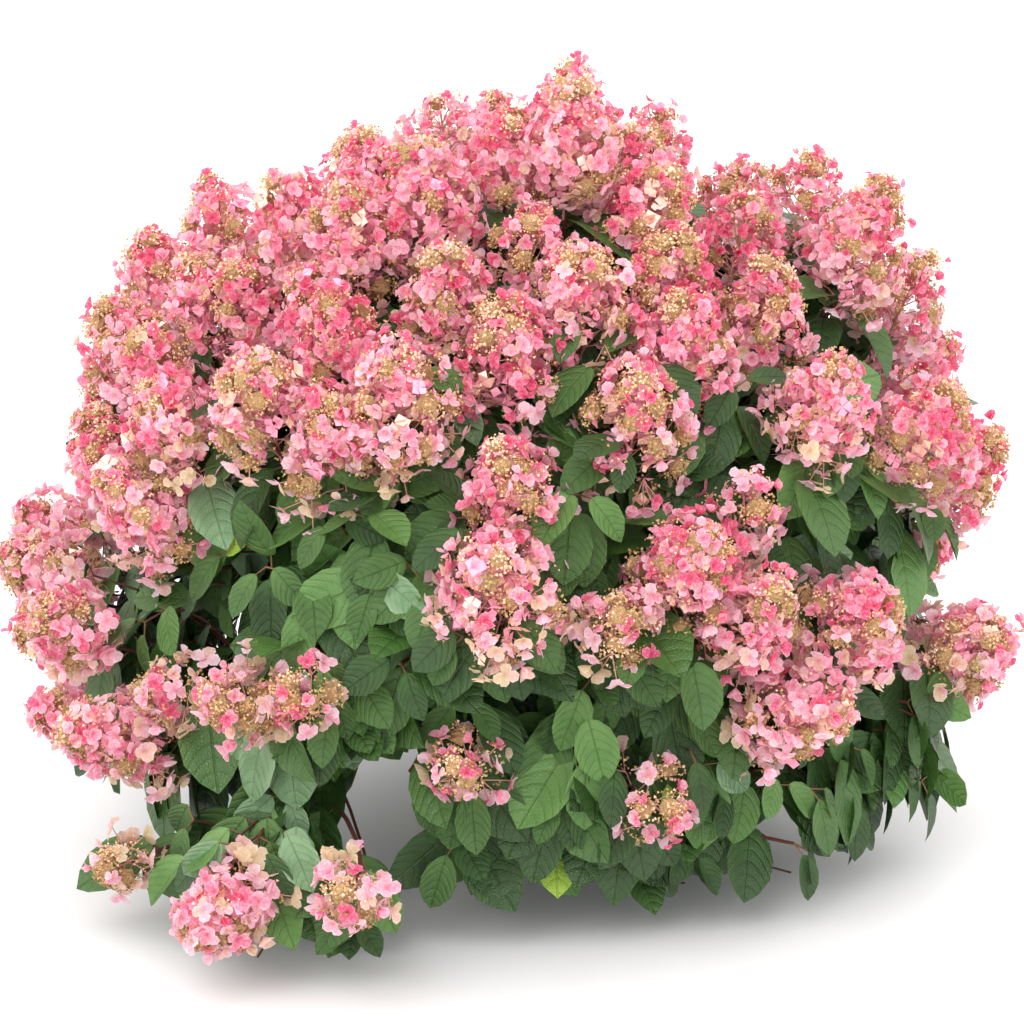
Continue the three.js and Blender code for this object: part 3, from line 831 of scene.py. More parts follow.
radii = np.array([r for r, _ in STUMP_PROFILE] + list(STUMP_TOP_RINGS), float)
heights = np.array([z for _, z in STUMP_PROFILE] + [STUMP_HEIGHT] * len(STUMP_TOP_RINGS), float)
around = np.linspace(0, 2 * np.pi, STUMP_SEGMENTS, endpoint=False)
lobe = 1 + FLARE_DEPTH * column(1 - heights / STUMP_HEIGHT) * np.cos(FLARES * around)
rows = np.stack([
    column(radii) * lobe * np.cos(around), column(radii) * lobe * np.sin(around),
    np.broadcast_to(column(heights), lobe.shape),
], 2)
points = np.concatenate([rows.reshape(-1, 3), [[0, 0, STUMP_HEIGHT], [0, 0, 0]]])
here = np.arange(STUMP_SEGMENTS)
there = (here + 1) % STUMP_SEGMENTS
faces = []
for row in range(len(radii) - 1):
    low, high = row * STUMP_SEGMENTS, (row + 1) * STUMP_SEGMENTS
    faces += [np.stack([low + here, low + there, high + there], 1)]
    faces += [np.stack([low + here, high + there, high + here], 1)]
last, top, bottom = (len(radii) - 1) * STUMP_SEGMENTS, len(points) - 2, len(points) - 1
faces += [np.stack([last + here, last + there, np.full_like(here, top)], 1)]
faces += [np.stack([there, here, np.full_like(here, bottom)], 1)]
stump = mesh_from("stump_bark_relief", points, np.concatenate(faces), paint=old_bark)
run_nodes(stump, relief_tree, Depth=0.006, Grain=70.0, Stretch=0.3)
settle(stump, ["stump"])

# %% Stems and boughs
def named(start):
    return [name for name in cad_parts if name.startswith(start)]


def along(lines, steps, radii):
    """The paths of limbs that taper evenly, with the radii along them."""
    t = np.linspace(0, 1, steps)
    return np.array([points_on(line, t) for line in lines]), blend(*radii, t)


STEM_STEPS, STEM_SIDES, STEM_RELIEF, STEM_GRAIN = 24, 20, 0.004, 110.0
BOUGH_STEPS, BOUGH_SIDES, BOUGH_RELIEF, BOUGH_GRAIN = 48, 12, 0.0016, 160.0

limbs = [along(stem_lines, STEM_STEPS, STEM_RADII)]
stems = tubes("stem_bark_relief", limbs, stem_bark, STEM_SIDES, STEM_RELIEF, STEM_GRAIN)
settle(stems, named("stem_"))
limbs = [along(bough_lines, BOUGH_STEPS, BOUGH_RADII)]
boughs = tubes("bough_bark_relief", limbs, bough_bark, BOUGH_SIDES, BOUGH_RELIEF, BOUGH_GRAIN)
settle(boughs, named("bough_"))

# %% [markdown]
# ## Twigs
#
# The season's shoots are dark red-brown and thin, a few millimetres thick, and taper
# little. They show against the light leaves just below many flower heads.

# %% The stems of the masses and their shoots
TWIG_STEPS = 7
TWIG_RADII = (2.9, 2.1)
SIDE_TWIG_RADII = (2.0, 1.3)
TWIG_SIDES = 5

twig_skin = new_paint("red-brown shoots", "#5A3226", 0.55)[0]
limbs = [
    along([m.stem for m in masses], TWIG_STEPS, MASS_STEM_RADII),
    along([shoot.curve for shoot in shoots], TWIG_STEPS, TWIG_RADII),
    along([shoot.curve for shoot in side_shoots], TWIG_STEPS, SIDE_TWIG_RADII),
]
settle(tubes("twigs", limbs, twig_skin, TWIG_SIDES))

# %% [markdown]
# ## Leaves and sepals are blades
#
# A leaf and a flower's sepal are both a thin blade: an outline about a midrib, bent along
# its length, folded or cupped across. One shape in its own flat coordinates is laid down
# thousands of times, each time with its own foot, way, facing and sizes.

# %% Laying down blades
def blade_shape(rows, columns):
    """A flat blade from rows of (place along it, half width). Its foot is a point, and its
    tip is a point or, if the last row has a width and there are three columns, blunt."""
    inner, tip_half = rows[1:-1], rows[-1][1]
    spread = np.linspace(-1, 1, columns)
    tips = [-tip_half, tip_half] if tip_half else [0.0]
    t = [rows[0][0]] + [place for place, _ in inner for _ in spread] + [rows[-1][0]] * len(tips)
    x = [0.0] + [half * c for _, half in inner for c in spread] + tips
    tip = 1 + len(inner) * columns
    left = tip - columns
    faces = [(0, c + 2, c + 1) for c in range(columns - 1)]
    for a in (1 + row * columns + c for row in range(len(inner) - 1) for c in range(columns - 1)):
        faces += [(a, a + 1, a + columns + 1), (a, a + columns + 1, a + columns)]
    if tip_half:
        faces += [(left, left + 1, tip), (left + 1, tip + 1, tip), (left + 1, left + 2, tip + 1)]
    else:
        faces += [(tip, left + c, left + c + 1) for c in range(columns - 1)]
    t, x = np.array(t), np.array(x)
    return SimpleNamespace(t=t, x=x, faces=np.array(faces), uv=np.stack([0.5 + x / 2, t], 1))


def lay_blades(shape, foot, way, facing, length, width, bend, fold, cup):
    """Corners of all the blades: each bends back by `bend` radians along its length, and
    its sides rise by `fold` and `cup` of its half width."""
    side = unit(np.cross(way, facing))
    up = np.cross(side, way)
    bend = np.where(np.abs(bend) < 0.01, 0.01, bend)
    arc = column(bend) * shape.t
    run = np.sin(arc) / column(bend) * column(length)
    drop = (1 - np.cos(arc)) / column(bend) * column(length)
    half = column(width) * 0.5
    lift = half * (column(fold) * np.abs(shape.x) + column(cup) * shape.x**2) - drop
    return (
        foot[:, None] + way[:, None] * run[..., None]
        + side[:, None] * (half * shape.x)[..., None] + up[:, None] * lift[..., None]
    )


def joined_copies(name, shape, corners, paint, smooth=True):
    """One piece of many copies of a shape, from the corners of each."""
    count, each = corners.shape[:2]
    faces = (shape.faces[None] + np.arange(count)[:, None, None] * each).reshape(-1, 3)
    uv = np.tile(shape.uv, (count, 1))
    return mesh_from(name, corners.reshape(-1, 3), faces, uv, paint, smooth)


LEAF_SHAPE = blade_shape(
    [(0, 0), (0.06, 0.4), (0.22, 0.81), (0.45, 1.0), (0.69, 0.9), (0.88, 0.5), (1, 0)], 5
)
SEPAL_SHAPE = blade_shape([(0, 0), (0.28, 0.76), (0.67, 1.0), (1, 0.5)], 3)
print("faces of a leaf:", len(LEAF_SHAPE.faces), "and of a sepal:", len(SEPAL_SHAPE.faces))

# %% [markdown]
# ### Where the leaves grow
#
# Leaves stand in opposite pairs, each pair a quarter turn from the last, on the shoots
# and on the masses' own stems. At the top of the crown they lie flat, and low down they
# hang and face out, as the photograph shows. A leaf that would reach into a flower head,
# open air or far into a neighbour's space is turned on and made smaller, and left out if
# that doesn't help.

# %% Leaf pairs
PAIRS_UNDER_HEAD = (0.82, 0.68, 0.52, 0.36, 0.2)
PAIRS_ON_LEAFY = (1.0, 0.86, 0.70, 0.54, 0.38)
PAIRS_ON_SIDE = (1.0, 0.8, 0.6, 0.42)
PAIRS_ON_STEM = (0.95, 0.8, 0.65, 0.5, 0.35, 0.2, 0.06)
LEAF_LENGTHS = (66, 110)
LEAF_WIDTHS = (0.55, 0.69)
PETIOLE, PETIOLE_RISE = (11, 18), 0.7
LEAF_TRIES = 7
OVERREACH = 34
LOWEST_LEAF = 40
HANGS_FROM, HANGS_BELOW = 700, 200
TIP_LEAF = 0.68  # the size of a pair at a shoot's very tip
NEXT_TURN = 0.7  # radians from one shoot's pairs to the next one's, and at each new try

stems_of_masses = [SimpleNamespace(curve=m.stem, mass=m) for m in masses]
groups = [
    *((shoot, PAIRS_UNDER_HEAD if shoot.bears_head else PAIRS_ON_LEAFY) for shoot in shoots),
    *((shoot, PAIRS_ON_SIDE) for shoot in side_shoots),
    *((stem, PAIRS_ON_STEM) for stem in stems_of_masses),
]
numbers = [*range(len(shoots)), *range(len(side_shoots)), *range(len(masses))]
feet = []
for number, (shoot, shares) in zip(numbers, groups):
    for pair, share in enumerate(shares):
        place, way = points_on(shoot.curve, share)[0], ways_on(shoot.curve, share)[0]
        size = TIP_LEAF if share == 1.0 else 1.0
        for k in (0, 1):
            turn = math.pi * (k + pair / 2) + NEXT_TURN * number
            feet.append((place, way, turn, shoot.mass.index, size, number))
place, way, turn, owner, share, spray = (np.array(values) for values in zip(*feet))
print(len(feet), "leaf feet")

head_middle = np.array([head.middle for head in heads])
head_axis = np.array([head.axis for head in heads])
head_size = np.array([head.size for head in heads])


def in_a_head(points, reach):
    """Whether each point lies inside any flower head, taken as an egg of that reach."""
    off = points[:, None] - head_middle
    far = (off * head_axis).sum(2)
    beside = np.linalg.norm(off - far[..., None] * head_axis, axis=2)
    ends = (far / (0.5 * HEAD_LENGTH * head_size)) ** 2
    sides = (beside / (0.5 * HEAD_WIDTH * head_size)) ** 2
    return (ends + sides < reach**2).any(1)


def inside_own_space(points, owner):
    squares = ((points[:, None] - middles) ** 2).sum(2)
    own = squares[np.arange(len(points)), owner]
    apart = np.linalg.norm(middles[owner][:, None] - middles, axis=2)
    apart[np.arange(len(points)), owner] = np.inf
    room = ((squares - own[:, None]) / (2 * apart)).min(1)
    return (room > -OVERREACH) & (points[:, 2] > LOWEST_LEAF)


# %% Turning each leaf until it has room
# Each pair of numbers is for a leaf at the top of the crown and for one low down.
DROOP, DROOP_VARIES = (0.25, 0.95), 0.25
TWIST = (0.75, 0.85)
WAY_SIDEWAYS, WAY_OUT = (0.75, 0.6), (0.45, 0.35)
FACES_OUT, FACES_UP = (0.45, 1), (0.9, 0.35)
LEAF_BEND, BEND_VARIES = (0.75, 0.3), (0.4, 1.5)
LEAF_FOLD, LEAF_CUP = (0.1, 0.42), (-0.25, 0.1)
SMALLEST_TRY = 0.7
TESTED_PLACES = (0.35, 0.7, 1.0)  # along the leaf
HEAD_REACH = 0.86

count = len(feet)
leaf = SimpleNamespace(
    foot=np.zeros((count, 3)), way=np.zeros((count, 3)), facing=np.zeros((count, 3)),
    length=np.zeros(count), width=np.zeros(count), grown=np.zeros(count, bool),
)
across, along_shoot = across_and_along(way)
for tries in range(LEAF_TRIES):
    todo = np.flatnonzero(~leaf.grown)
    n = len(todo)
    angle = turn[todo] + NEXT_TURN * tries + chance.uniform(-TURN_VARIES, TURN_VARIES, n)
    sideways = across[todo] * column(np.cos(angle)) + along_shoot[todo] * column(np.sin(angle))
    stalk_way = unit(sideways + way[todo] * PETIOLE_RISE)
    base = place[todo] + stalk_way * column(chance.uniform(*PETIOLE, n))
    out = outward_at(base)
    low = within((HANGS_FROM - base[:, 2]) / (HANGS_FROM - HANGS_BELOW))
    droop = blend(*DROOP, low) + chance.uniform(-DROOP_VARIES, DROOP_VARIES, n)
    twist = chance.uniform(-1, 1, n) * blend(*TWIST, low)
    leaf_way = unit(
        sideways * column(blend(*WAY_SIDEWAYS, low)) + out * column(blend(*WAY_OUT, low))
        - UP * column(droop)
    )
    facing = unit(
        out * column(blend(*FACES_OUT, low)) + UP * column(blend(*FACES_UP, low))
        + sideways * column(twist)
    )
    smaller = blend(1, SMALLEST_TRY, tries / LEAF_TRIES)
    length = chance.uniform(*LEAF_LENGTHS, n) * share[todo] * smaller
    fits = np.ones(n, bool)
    for reach in TESTED_PLACES:
        spot = base + leaf_way * column(length * reach)
        fits &= inside_own_space(spot, owner[todo])
        fits &= ~in_a_head(spot, HEAD_REACH) & ~in_open_air(spot)
    good = todo[fits]
    leaf.foot[good], leaf.way[good], leaf.facing[good] = base[fits], leaf_way[fits], facing[fits]
    leaf.length[good] = length[fits]
    leaf.grown[good] = True
low = within((HANGS_FROM - leaf.foot[:, 2]) / (HANGS_FROM - HANGS_BELOW))
leaf.width = leaf.length * chance.uniform(*LEAF_WIDTHS, count)
leaf.bend = blend(*LEAF_BEND, low) * chance.uniform(*BEND_VARIES, count)
leaf.fold = chance.uniform(*LEAF_FOLD, count)
leaf.cup = chance.uniform(*LEAF_CUP, count)
print(int(leaf.grown.sum()), "leaves of", count, "found room")

# %% [markdown]
# ### What a leaf looks like
#
# A hydrangea leaf is mid green and slightly glossy, quilted between veins that sweep
# towards the tip. The veins could be painted on an image, but a pattern in the leaf's own
# coordinates stays sharp and costs nothing. The group puts out a mask for the veins and a
# height for the quilting, and sepals use it too, with fewer and fainter veins.

# %% Veins as a shader group
veins, given, result = new_tree(
    "Veins", "ShaderNodeTree",
    {"Place": ("Vector", None), "Pairs": ("Float", 7.0), "Sweep": ("Float", 2.4),
     "Sharpness": ("Float", 0.9)},
    {"Vein": "Float", "Height": "Float", "Along": "Float", "Edge": "Float"},
)
split = add(veins, "ShaderNodeSeparateXYZ", given["Place"]).outputs
from_middle = calc(veins, "ABSOLUTE", calc(veins, "SUBTRACT", split["X"], 0.5))
beside = calc(veins, "MULTIPLY", from_middle, 2.0)
swept = calc(veins, "MULTIPLY", calc(veins, "POWER", beside, 1.7), given["Sweep"])
phase = calc(veins, "SUBTRACT", calc(veins, "MULTIPLY", split["Y"], given["Pairs"]), swept)
saw = calc(veins, "ABSOLUTE", calc(veins, "SUBTRACT", calc(veins, "FRACT", phase), 0.5))
saw = calc(veins, "MULTIPLY", saw, 2.0)
lateral = remap(veins, saw, given["Sharpness"], 1.0, 0.0, 1.0)
midrib = remap(veins, beside, 0.05, 0.02, 0.0, 1.0)
put(result["Vein"], calc(veins, "MAXIMUM", lateral, midrib))
quilt = calc(veins, "SUBTRACT", 1.0, calc(veins, "POWER", saw, 3.0))
net = add(
    veins, "ShaderNodeTexVoronoi", voronoi_dimensions="2D", feature="DISTANCE_TO_EDGE"
)
put(net.inputs["Vector"], given["Place"])
put(net.inputs["Scale"], 24.0)
net = calc(veins, "MULTIPLY", calc(veins, "MINIMUM", net.outputs["Distance"], 0.25), 1.6)
put(result["Height"], calc(veins, "ADD", calc(veins, "SUBTRACT", quilt, midrib), net))
put(result["Along"], split["Y"])
put(result["Edge"], beside)


def blade_paint(name, shades, *, roughness, pairs, sweep, relief, vein_share, mottle_and_highlight, glow):
    """A blade's material, lit through: its colour, its veins', its foot's and its rim's,
    and the rim's once more in patches. The paler rim and patches are partly the blade's
    own colour and partly a painted highlight."""
    body, vein, foot, pale_rim_and_highlight = shades
    paint, tree, shader = new_paint(name, roughness=roughness)
    group = add(tree, "ShaderNodeGroup", node_tree=veins)
    own_place = add(tree, "ShaderNodeUVMap", uv_map=UV_MAP).outputs[0]
    for label, value in (("Place", own_place), ("Pairs", pairs), ("Sweep", sweep)):
        put(group.inputs[label], value)
    noise = noise_at(tree, own_place, 4.5, 2.0, noise_dimensions="2D")
    # patches of the pale rim colour: partly the blade's own mottle, partly a painted highlight
    patch = remap(tree, noise, 0.44, 0.6, 0.0, mottle_and_highlight)
    near_foot = remap(tree, group.outputs["Along"], 0.05, 0.5, 1.0, 0.0)
    line = calc(tree, "MULTIPLY", group.outputs["Vein"], vein_share)
    # a paler rim: partly the blade's own edge colour, partly a painted highlight
    rim_highlight_share = remap(tree, group.outputs["Edge"], 0.55, 0.95, 0.0, 1.0)
    tinted = colour(body)
    for share, shade in ((patch, pale_rim_and_highlight), (near_foot, foot), (line, vein), (rim_highlight_share, pale_rim_and_highlight)):
        tinted = mixed(tree, share, tinted, shade)
    put(shader.inputs["Base Color"], tinted)
    give_relief(tree, shader, relief, 0.0015, group.outputs["Height"])
    through = add(tree, "ShaderNodeBsdfTranslucent", tinted)
    both = add(tree, "ShaderNodeMixShader", glow, shader.outputs[0], through.outputs[0])
    put(tree.nodes["Material Output"].inputs["Surface"], both.outputs[0])
    return paint


# %% Leaves in five greens
SPRAY_TINT, OWN_TINT = 0.55, 0.45
LEAF_PAINT = dict(
    roughness=0.34, pairs=6.5, sweep=2.6, relief=0.7, vein_share=0.4, mottle_and_highlight=0.35, glow=0.1
)
LEAF_SHADES = {  # name: (share of the leaves, blade, veins, foot, rim)
    "deep": (0.40, "#2D4A1E", "#1F3413", "#3F622C", "#365624"),
    "mid": (0.354, "#40632B", "#2D471B", "#567B3C", "#4B6C30"),
    "fresh": (0.17, "#547C3A", "#3F6128", "#6D9450", "#618744"),
    # silvery: paler grey-green leaves, a painted sheen that stands for glossy leaves catching the
    # light
    "silvery": (0.07, "#6C8E64", "#527249", "#84A47A", "#88A67E"),
    "young": (0.006, "#93B23A", "#7C9C2C", "#A3BE4C", "#9BBA45"),
}
leaf_corners = lay_blades(
    LEAF_SHAPE, *(getattr(leaf, key)[leaf.grown] for key in
                  ("foot", "way", "facing", "length", "width", "bend", "fold", "cup"))
)
by_spray = np.random.default_rng(SEED + 1).random(int(spray.max()) + 1)[spray[leaf.grown]]
pick = by_spray * SPRAY_TINT + chance.random(len(leaf_corners)) * OWN_TINT
order = pick.argsort().argsort() / len(pick)
start = 0.0
for name, (amount, *shades) in LEAF_SHADES.items():
    chosen = (order >= start) & (order < start + amount)
    start += amount
    paint = blade_paint(f"{name} leaf", shades, **LEAF_PAINT)
    piece = joined_copies(f"leaves_{name}", LEAF_SHAPE, leaf_corners[chosen], paint)
    settle(piece)

# %% Leaf stalks
STALK_SIDES = 3
LEAF_STALK_RADII = (1.5, 0.9)
STALK_IN_LEAF = 1.5

stalk_skin = new_paint("leaf stalks", "#7A5A3C", 0.5)[0]
stalk_ends = leaf.foot[leaf.grown] + leaf.way[leaf.grown] * STALK_IN_LEAF
limbs = [(np.stack([place[leaf.grown], stalk_ends], 1), LEAF_STALK_RADII)]
settle(tubes("leaf_stalks", limbs, stalk_skin, STALK_SIDES))

# %% [markdown]
# ## Flower heads
#
# A head is a cone of side branches round one axis. Each branch ends in a small dome of
# tiny fertile flowers, like tan crumbs, and a few showy flowers of four rounded sepals
# stand round it on thin stalks. Spreading the showy flowers evenly over an egg would look
# like a ball of paper, so they follow the branches, and where the head looks up and out
# some branches keep theirs few and show their dome. The few heads that stand alone near
# the ground are sparse, as in the photograph.

# %% Side branches of the heads
BRANCHES = 30
FULLNESS, SMALL_HEAD, HEAD_SPAN = (0.6, 1.0), 0.55, 0.3
SPARSE_BELOW, SPARSE = 215, 0.5
FIRST_BRANCH, BRANCHED = 0.05, 0.93  # along the head's axis
BRANCH_FEET, NEXT_HEAD_TURN = 0.72, 1.7
BARE_REACH, FULL_REACH = 0.79, 0.74
HEAD_WIDTHS = (1.3, 0.46)  # near a head's foot and at its tip, as shares of its width
HEAD_STRETCH, HEAD_SPREAD = (0.9, 1.12), (0.84, 1.2)
BARE_UNEVEN, FULL_UNEVEN = (0.92, 1.12), (0.8, 1.22)
RUNAWAYS, RUNAWAY_REACH = 0.14, 1.22
LOW_HEADS = (230, 480)  # the rise from low heads to high ones
SMALLER_LOW = 0.86
BARE_PATCH = (math.radians(52), math.radians(42))  # low down and aloft
PATCH_UP, PATCH_VARIES = 0.7, 0.35
BARE_STREAK, STREAK_FROM = math.cos(math.radians(40)), 0.38
BARE_ELSEWHERE = 0.24

branch_rows = []
for number, head in enumerate(heads):
    lone_and_low = head.mass.heads == 1 and head.mass.height < SPARSE_BELOW
    share = within((head.size - SMALL_HEAD) / HEAD_SPAN)
    full = SPARSE if lone_and_low else blend(*FULLNESS, share)
    n = round(BRANCHES * head.size * full)
    s = FIRST_BRANCH + BRANCHED * (np.arange(n) + 0.5) / n
    around = GOLDEN_TURN * np.arange(n) + NEXT_HEAD_TURN * number
    around = around + chance.uniform(-TURN_VARIES, TURN_VARIES, n)
    across, along_head = across_and_along(head.axis)
    radial = across * column(np.cos(around)) + along_head * column(np.sin(around))
    v = 2 * s - 1
    girth = np.sqrt(1 - v**2)
    out = unit(radial * column(girth / HEAD_WIDTH) + head.axis * column(v / HEAD_LENGTH))
    patch_way = head.axis * PATCH_UP + outward_at(head.middle)
    patch_way = unit(patch_way + chance.normal(0, PATCH_VARIES, 3))
    streak = (radial @ patch_way > BARE_STREAK) & (s > STREAK_FROM)
    aloft = ramp(head.middle[2], *LOW_HEADS)
    patch = out @ patch_way > math.cos(blend(*BARE_PATCH, aloft))
    bare = patch | streak | (chance.random(n) < BARE_ELSEWHERE)
    uneven = np.where(bare, chance.uniform(*BARE_UNEVEN, n), chance.uniform(*FULL_UNEVEN, n))
    uneven = uneven * np.where(~bare & (chance.random(n) < RUNAWAYS), RUNAWAY_REACH, 1)
    smaller = blend(SMALLER_LOW, 1, aloft)
    reach = np.where(bare, BARE_REACH, FULL_REACH) * uneven * 0.5 * head.size * smaller
    tall, wide = chance.uniform(*HEAD_STRETCH), chance.uniform(*HEAD_SPREAD)
    end = (
        head.middle + head.axis * column(v * HEAD_LENGTH * reach * tall)
        + radial * column(girth * blend(*HEAD_WIDTHS, s) * HEAD_WIDTH * reach * wide)
    )
    foot = head.end + head.axis * column(HEAD_LENGTH * head.size * s * BRANCH_FEET)
    vivid = chance.normal(0, 1)
    for k in range(n):
        branch_rows.append((foot[k], end[k], out[k], s[k], bare[k], vivid, full, head.middle[2]))
b = SimpleNamespace(**dict(zip(
    ("foot", "end", "out", "s", "bare", "vivid", "full", "height"),
    (np.array(values) for values in zip(*branch_rows)),
)))
print(len(b.s), "side branches,", int(b.bare.sum()), "of them nearly bare")

# %% [markdown]
# ### The cushions under the crumbs
#
# A dome holds dozens of fertile flowers, each a millimetre or two wide, on stalks so close
# that nothing shows through. Single crumbs for all of them would cost millions of faces.
# So in each dome that shows lies one small lumpy cushion with a mosaic of crumbs and painted
# shade in the crevices between them, and a cloud of real crumbs goes round it.

# %% Cushions
DOME_POLARS = (36, 72, 108)
DOME_SIDES = 7
DOME_FOOT = 1.3
DOME_RADII = (12.5, 18)
DOME_HEIGHT, DOME_LUMPS = 0.7, (0.84, 1.16)
CUSHION_SHARE = 0.7

polar = np.radians([0] + [p for p in DOME_POLARS for _ in range(DOME_SIDES)])
turn = 2 * np.pi * np.arange(len(polar)) / DOME_SIDES + polar
flat = 0.5 * polar / np.pi
last = 1 + (len(DOME_POLARS) - 1) * DOME_SIDES
foot = len(polar)
faces = []
for c in range(DOME_SIDES):
    d = (c + 1) % DOME_SIDES
    faces += [(0, 1 + c, 1 + d), (last + d, last + c, foot)]
    for low in range(1, last, DOME_SIDES):
        high = low + DOME_SIDES
        faces += [(low + c, high + c, high + d), (low + c, high + d, low + d)]
flat_foot = (0.5, 0)
DOME = SimpleNamespace(
    x=np.append(np.sin(polar) * np.cos(turn), 0),
    y=np.append(np.sin(polar) * np.sin(turn), 0),
    z=np.append(np.cos(polar), -DOME_FOOT),
    uv=0.5 + np.append(column(flat) * np.stack([np.cos(turn), np.sin(turn)], 1), [flat_foot], 0),
    faces=np.array(faces),
)


def lay_domes(place, way, radius):
    """Corners of all the domes, each with lumps of its own."""
    aside, beside = across_and_along(way)
    size = column(radius) * chance.uniform(*DOME_LUMPS, (len(place), len(DOME.x)))
    return (
        place[:, None] + aside[:, None] * (DOME.x * size)[..., None]
        + beside[:, None] * (DOME.y * size)[..., None]
        + way[:, None] * (DOME.z * size * DOME_HEIGHT)[..., None]
    )


def crumb_paint(name, crevice_shade, low, high, fineness):
    """Cells of two shades of crumb, with painted shade in the crevices between them."""
    paint, tree, shader = new_paint(name, roughness=0.9)
    cells = add(tree, "ShaderNodeTexVoronoi", voronoi_dimensions="2D")
    put(cells.inputs["Vector"], add(tree, "ShaderNodeUVMap", uv_map=UV_MAP).outputs[0])
    put(cells.inputs["Scale"], fineness)
    kind = add(tree, "ShaderNodeSeparateColor", cells.outputs["Color"]).outputs[0]
    # painted shade in the crevices between the crumbs
    shade_in_gaps = remap(tree, cells.outputs["Distance"], 0.3, 0.7, 0.0, 0.8)
    crumb = mixed(tree, kind, low, high)
    put(shader.inputs["Base Color"], mixed(tree, shade_in_gaps, crumb, crevice_shade))
    give_relief(tree, shader, 0.7, 0.001, calc(tree, "SUBTRACT", 1.0, cells.outputs["Distance"]))
    return paint


b.radius = chance.uniform(*DOME_RADII, len(b.s))
# the first colour is the painted shade in the crevices
cushion_paint = crumb_paint("cushions of crumbs", "#8A6A44", "#B08E5C", "#D8AE82", 60.0)
cushions = lay_domes(b.end[b.bare], b.out[b.bare], b.radius[b.bare] * CUSHION_SHARE)
settle(joined_copies("crumb_cushions", DOME, cushions, cushion_paint, False))

# %% [markdown]
# ### Showy flowers
#
# A showy flower has four broad sepals that overlap at its middle, and no petals. From
# four to seven stand on thin stalks round the end of each side branch of a full head.
# Fewer stand in a sparse head and round a branch that shows its dome. They face out, and
# at the foot of the head they hang and stand looser. Each sepal could be the same copy,
# but then they would catch the light alike, so each has its own size, lift, bend and cup.
# Those in the lowest parts of a head are older and larger.

# %% Showy flowers around each dome
FLOWERS, FLOWERS_ON_BARE, MORE_ALOFT = (3.8, 5.7), (1, 4), 0.15
ALOFT = (300, 650)  # the heights between which heads become those of the crown's top
FLOWER_REACH, FLOWER_FAN, FLOWER_TURN_VARIES = (-2, 12), 16, 0.35
FLOWER_SPREAD, SPREAD_IN_MIDDLE = (0.55, 1.0), 0.35
LOOSE_BELOW, LOOSE_REACH, LOOSE_FAN = 0.45, 18, 10
SAG_BELOW, SAG = 0.3, 0.45
FACES_ASIDE, FACES_VARY = 0.75, 0.46

flower_rows = []
t1, t2 = across_and_along(b.out)
for k in range(len(b.s)):
    more = 1 + MORE_ALOFT * ramp(b.height[k], *ALOFT)
    if b.bare[k]:
        n = chance.integers(*FLOWERS_ON_BARE)
    else:
        n = max(2, round(chance.uniform(*FLOWERS) * b.full[k] * more))
    start = chance.uniform(0, 2 * np.pi)
    loose = max(0.0, LOOSE_BELOW - b.s[k]) / LOOSE_BELOW
    sag = SAG * max(0.0, SAG_BELOW - b.s[k]) / SAG_BELOW
    for j in range(n):
        angle = start + 2 * np.pi * j / n
        angle += chance.uniform(-FLOWER_TURN_VARIES, FLOWER_TURN_VARIES)
        fan = t1[k] * math.cos(angle) + t2[k] * math.sin(angle)
        in_the_middle = j == n - 1 and n > 4
        spread = chance.uniform(*FLOWER_SPREAD) * (SPREAD_IN_MIDDLE if in_the_middle else 1)
        nearest, furthest = FLOWER_REACH
        reach = b.out[k] * chance.uniform(nearest, furthest + LOOSE_REACH * loose)
        place_of = b.end[k] + fan * (FLOWER_FAN + LOOSE_FAN * loose) * spread + reach
        facing = b.out[k] + fan * FACES_ASIDE * spread
        facing = facing + chance.normal(0, FACES_VARY, 3) - UP * sag
        flower_rows.append((place_of, facing, k))
flower_place, flower_facing, flower_branch = (np.array(v) for v in zip(*flower_rows))
flower_facing = unit(flower_facing)
print(len(flower_place), "showy flowers")

# %% Sepals
SEPALS = 4
SEPAL_LENGTHS_LOW = (14.5, 19.5)
SEPAL_LENGTHS_HIGH = (9.5, 14)
SMALLER_ALOFT, SMALLER_UP_HEAD = 0.8, 1.3
OPENING, OPENING_VARIES, OPENING_ENDS = 0.36, 0.42, (-0.35, 1.3)  # radians up from flat
SEPAL_TURN_VARIES, SEPAL_LIFT_VARIES, SEPAL_LENGTH_VARIES = 0.14, 0.12, (0.88, 1.08)
LOWER_PAIR, UPPER_PAIR_STANDS = 0.92, 0.8  # its size, and how far the other is above it
SEPAL_WIDTHS, SEPAL_FOLD, SEPAL_CUP = (0.9, 1.06), (-0.2, 0.35), (-0.1, 0.5)
SEPAL_BEND, SEPAL_BEND_VARIES = 0.15, 0.5


def sepals_of(place, facing, size):
    """The four sepals of each flower, all first sepals before all second ones."""
    n = len(place)
    u1, u2 = across_and_along(facing)
    spin = chance.uniform(0, np.pi / 2, n)
    opening = np.clip(chance.normal(OPENING, OPENING_VARIES, n), *OPENING_ENDS)
    parts = []
    for k in range(SEPALS):
        angle = spin + k * np.pi / 2 + chance.uniform(-SEPAL_TURN_VARIES, SEPAL_TURN_VARIES, n)
        radial = u1 * column(np.cos(angle)) + u2 * column(np.sin(angle))
        lift = opening + chance.normal(0, SEPAL_LIFT_VARIES, n)
        upper = k % 2
        parts.append((
            place + facing * (UPPER_PAIR_STANDS * upper),
            unit(radial * column(np.cos(lift)) + facing * column(np.sin(lift))),
            unit(facing * column(np.cos(lift)) - radial * column(np.sin(lift))),
            size * chance.uniform(*SEPAL_LENGTH_VARIES, n) * (1.0 if upper else LOWER_PAIR),
        ))
    foot, way, face, length = (np.concatenate(one) for one in zip(*parts))
    total = len(length)
    width = length * chance.uniform(*SEPAL_WIDTHS, total)
    bend = chance.normal(SEPAL_BEND, SEPAL_BEND_VARIES, total)
    fold, cup = chance.uniform(*SEPAL_FOLD, total), chance.uniform(*SEPAL_CUP, total)
    return foot, way, face, length, width, bend, fold, cup


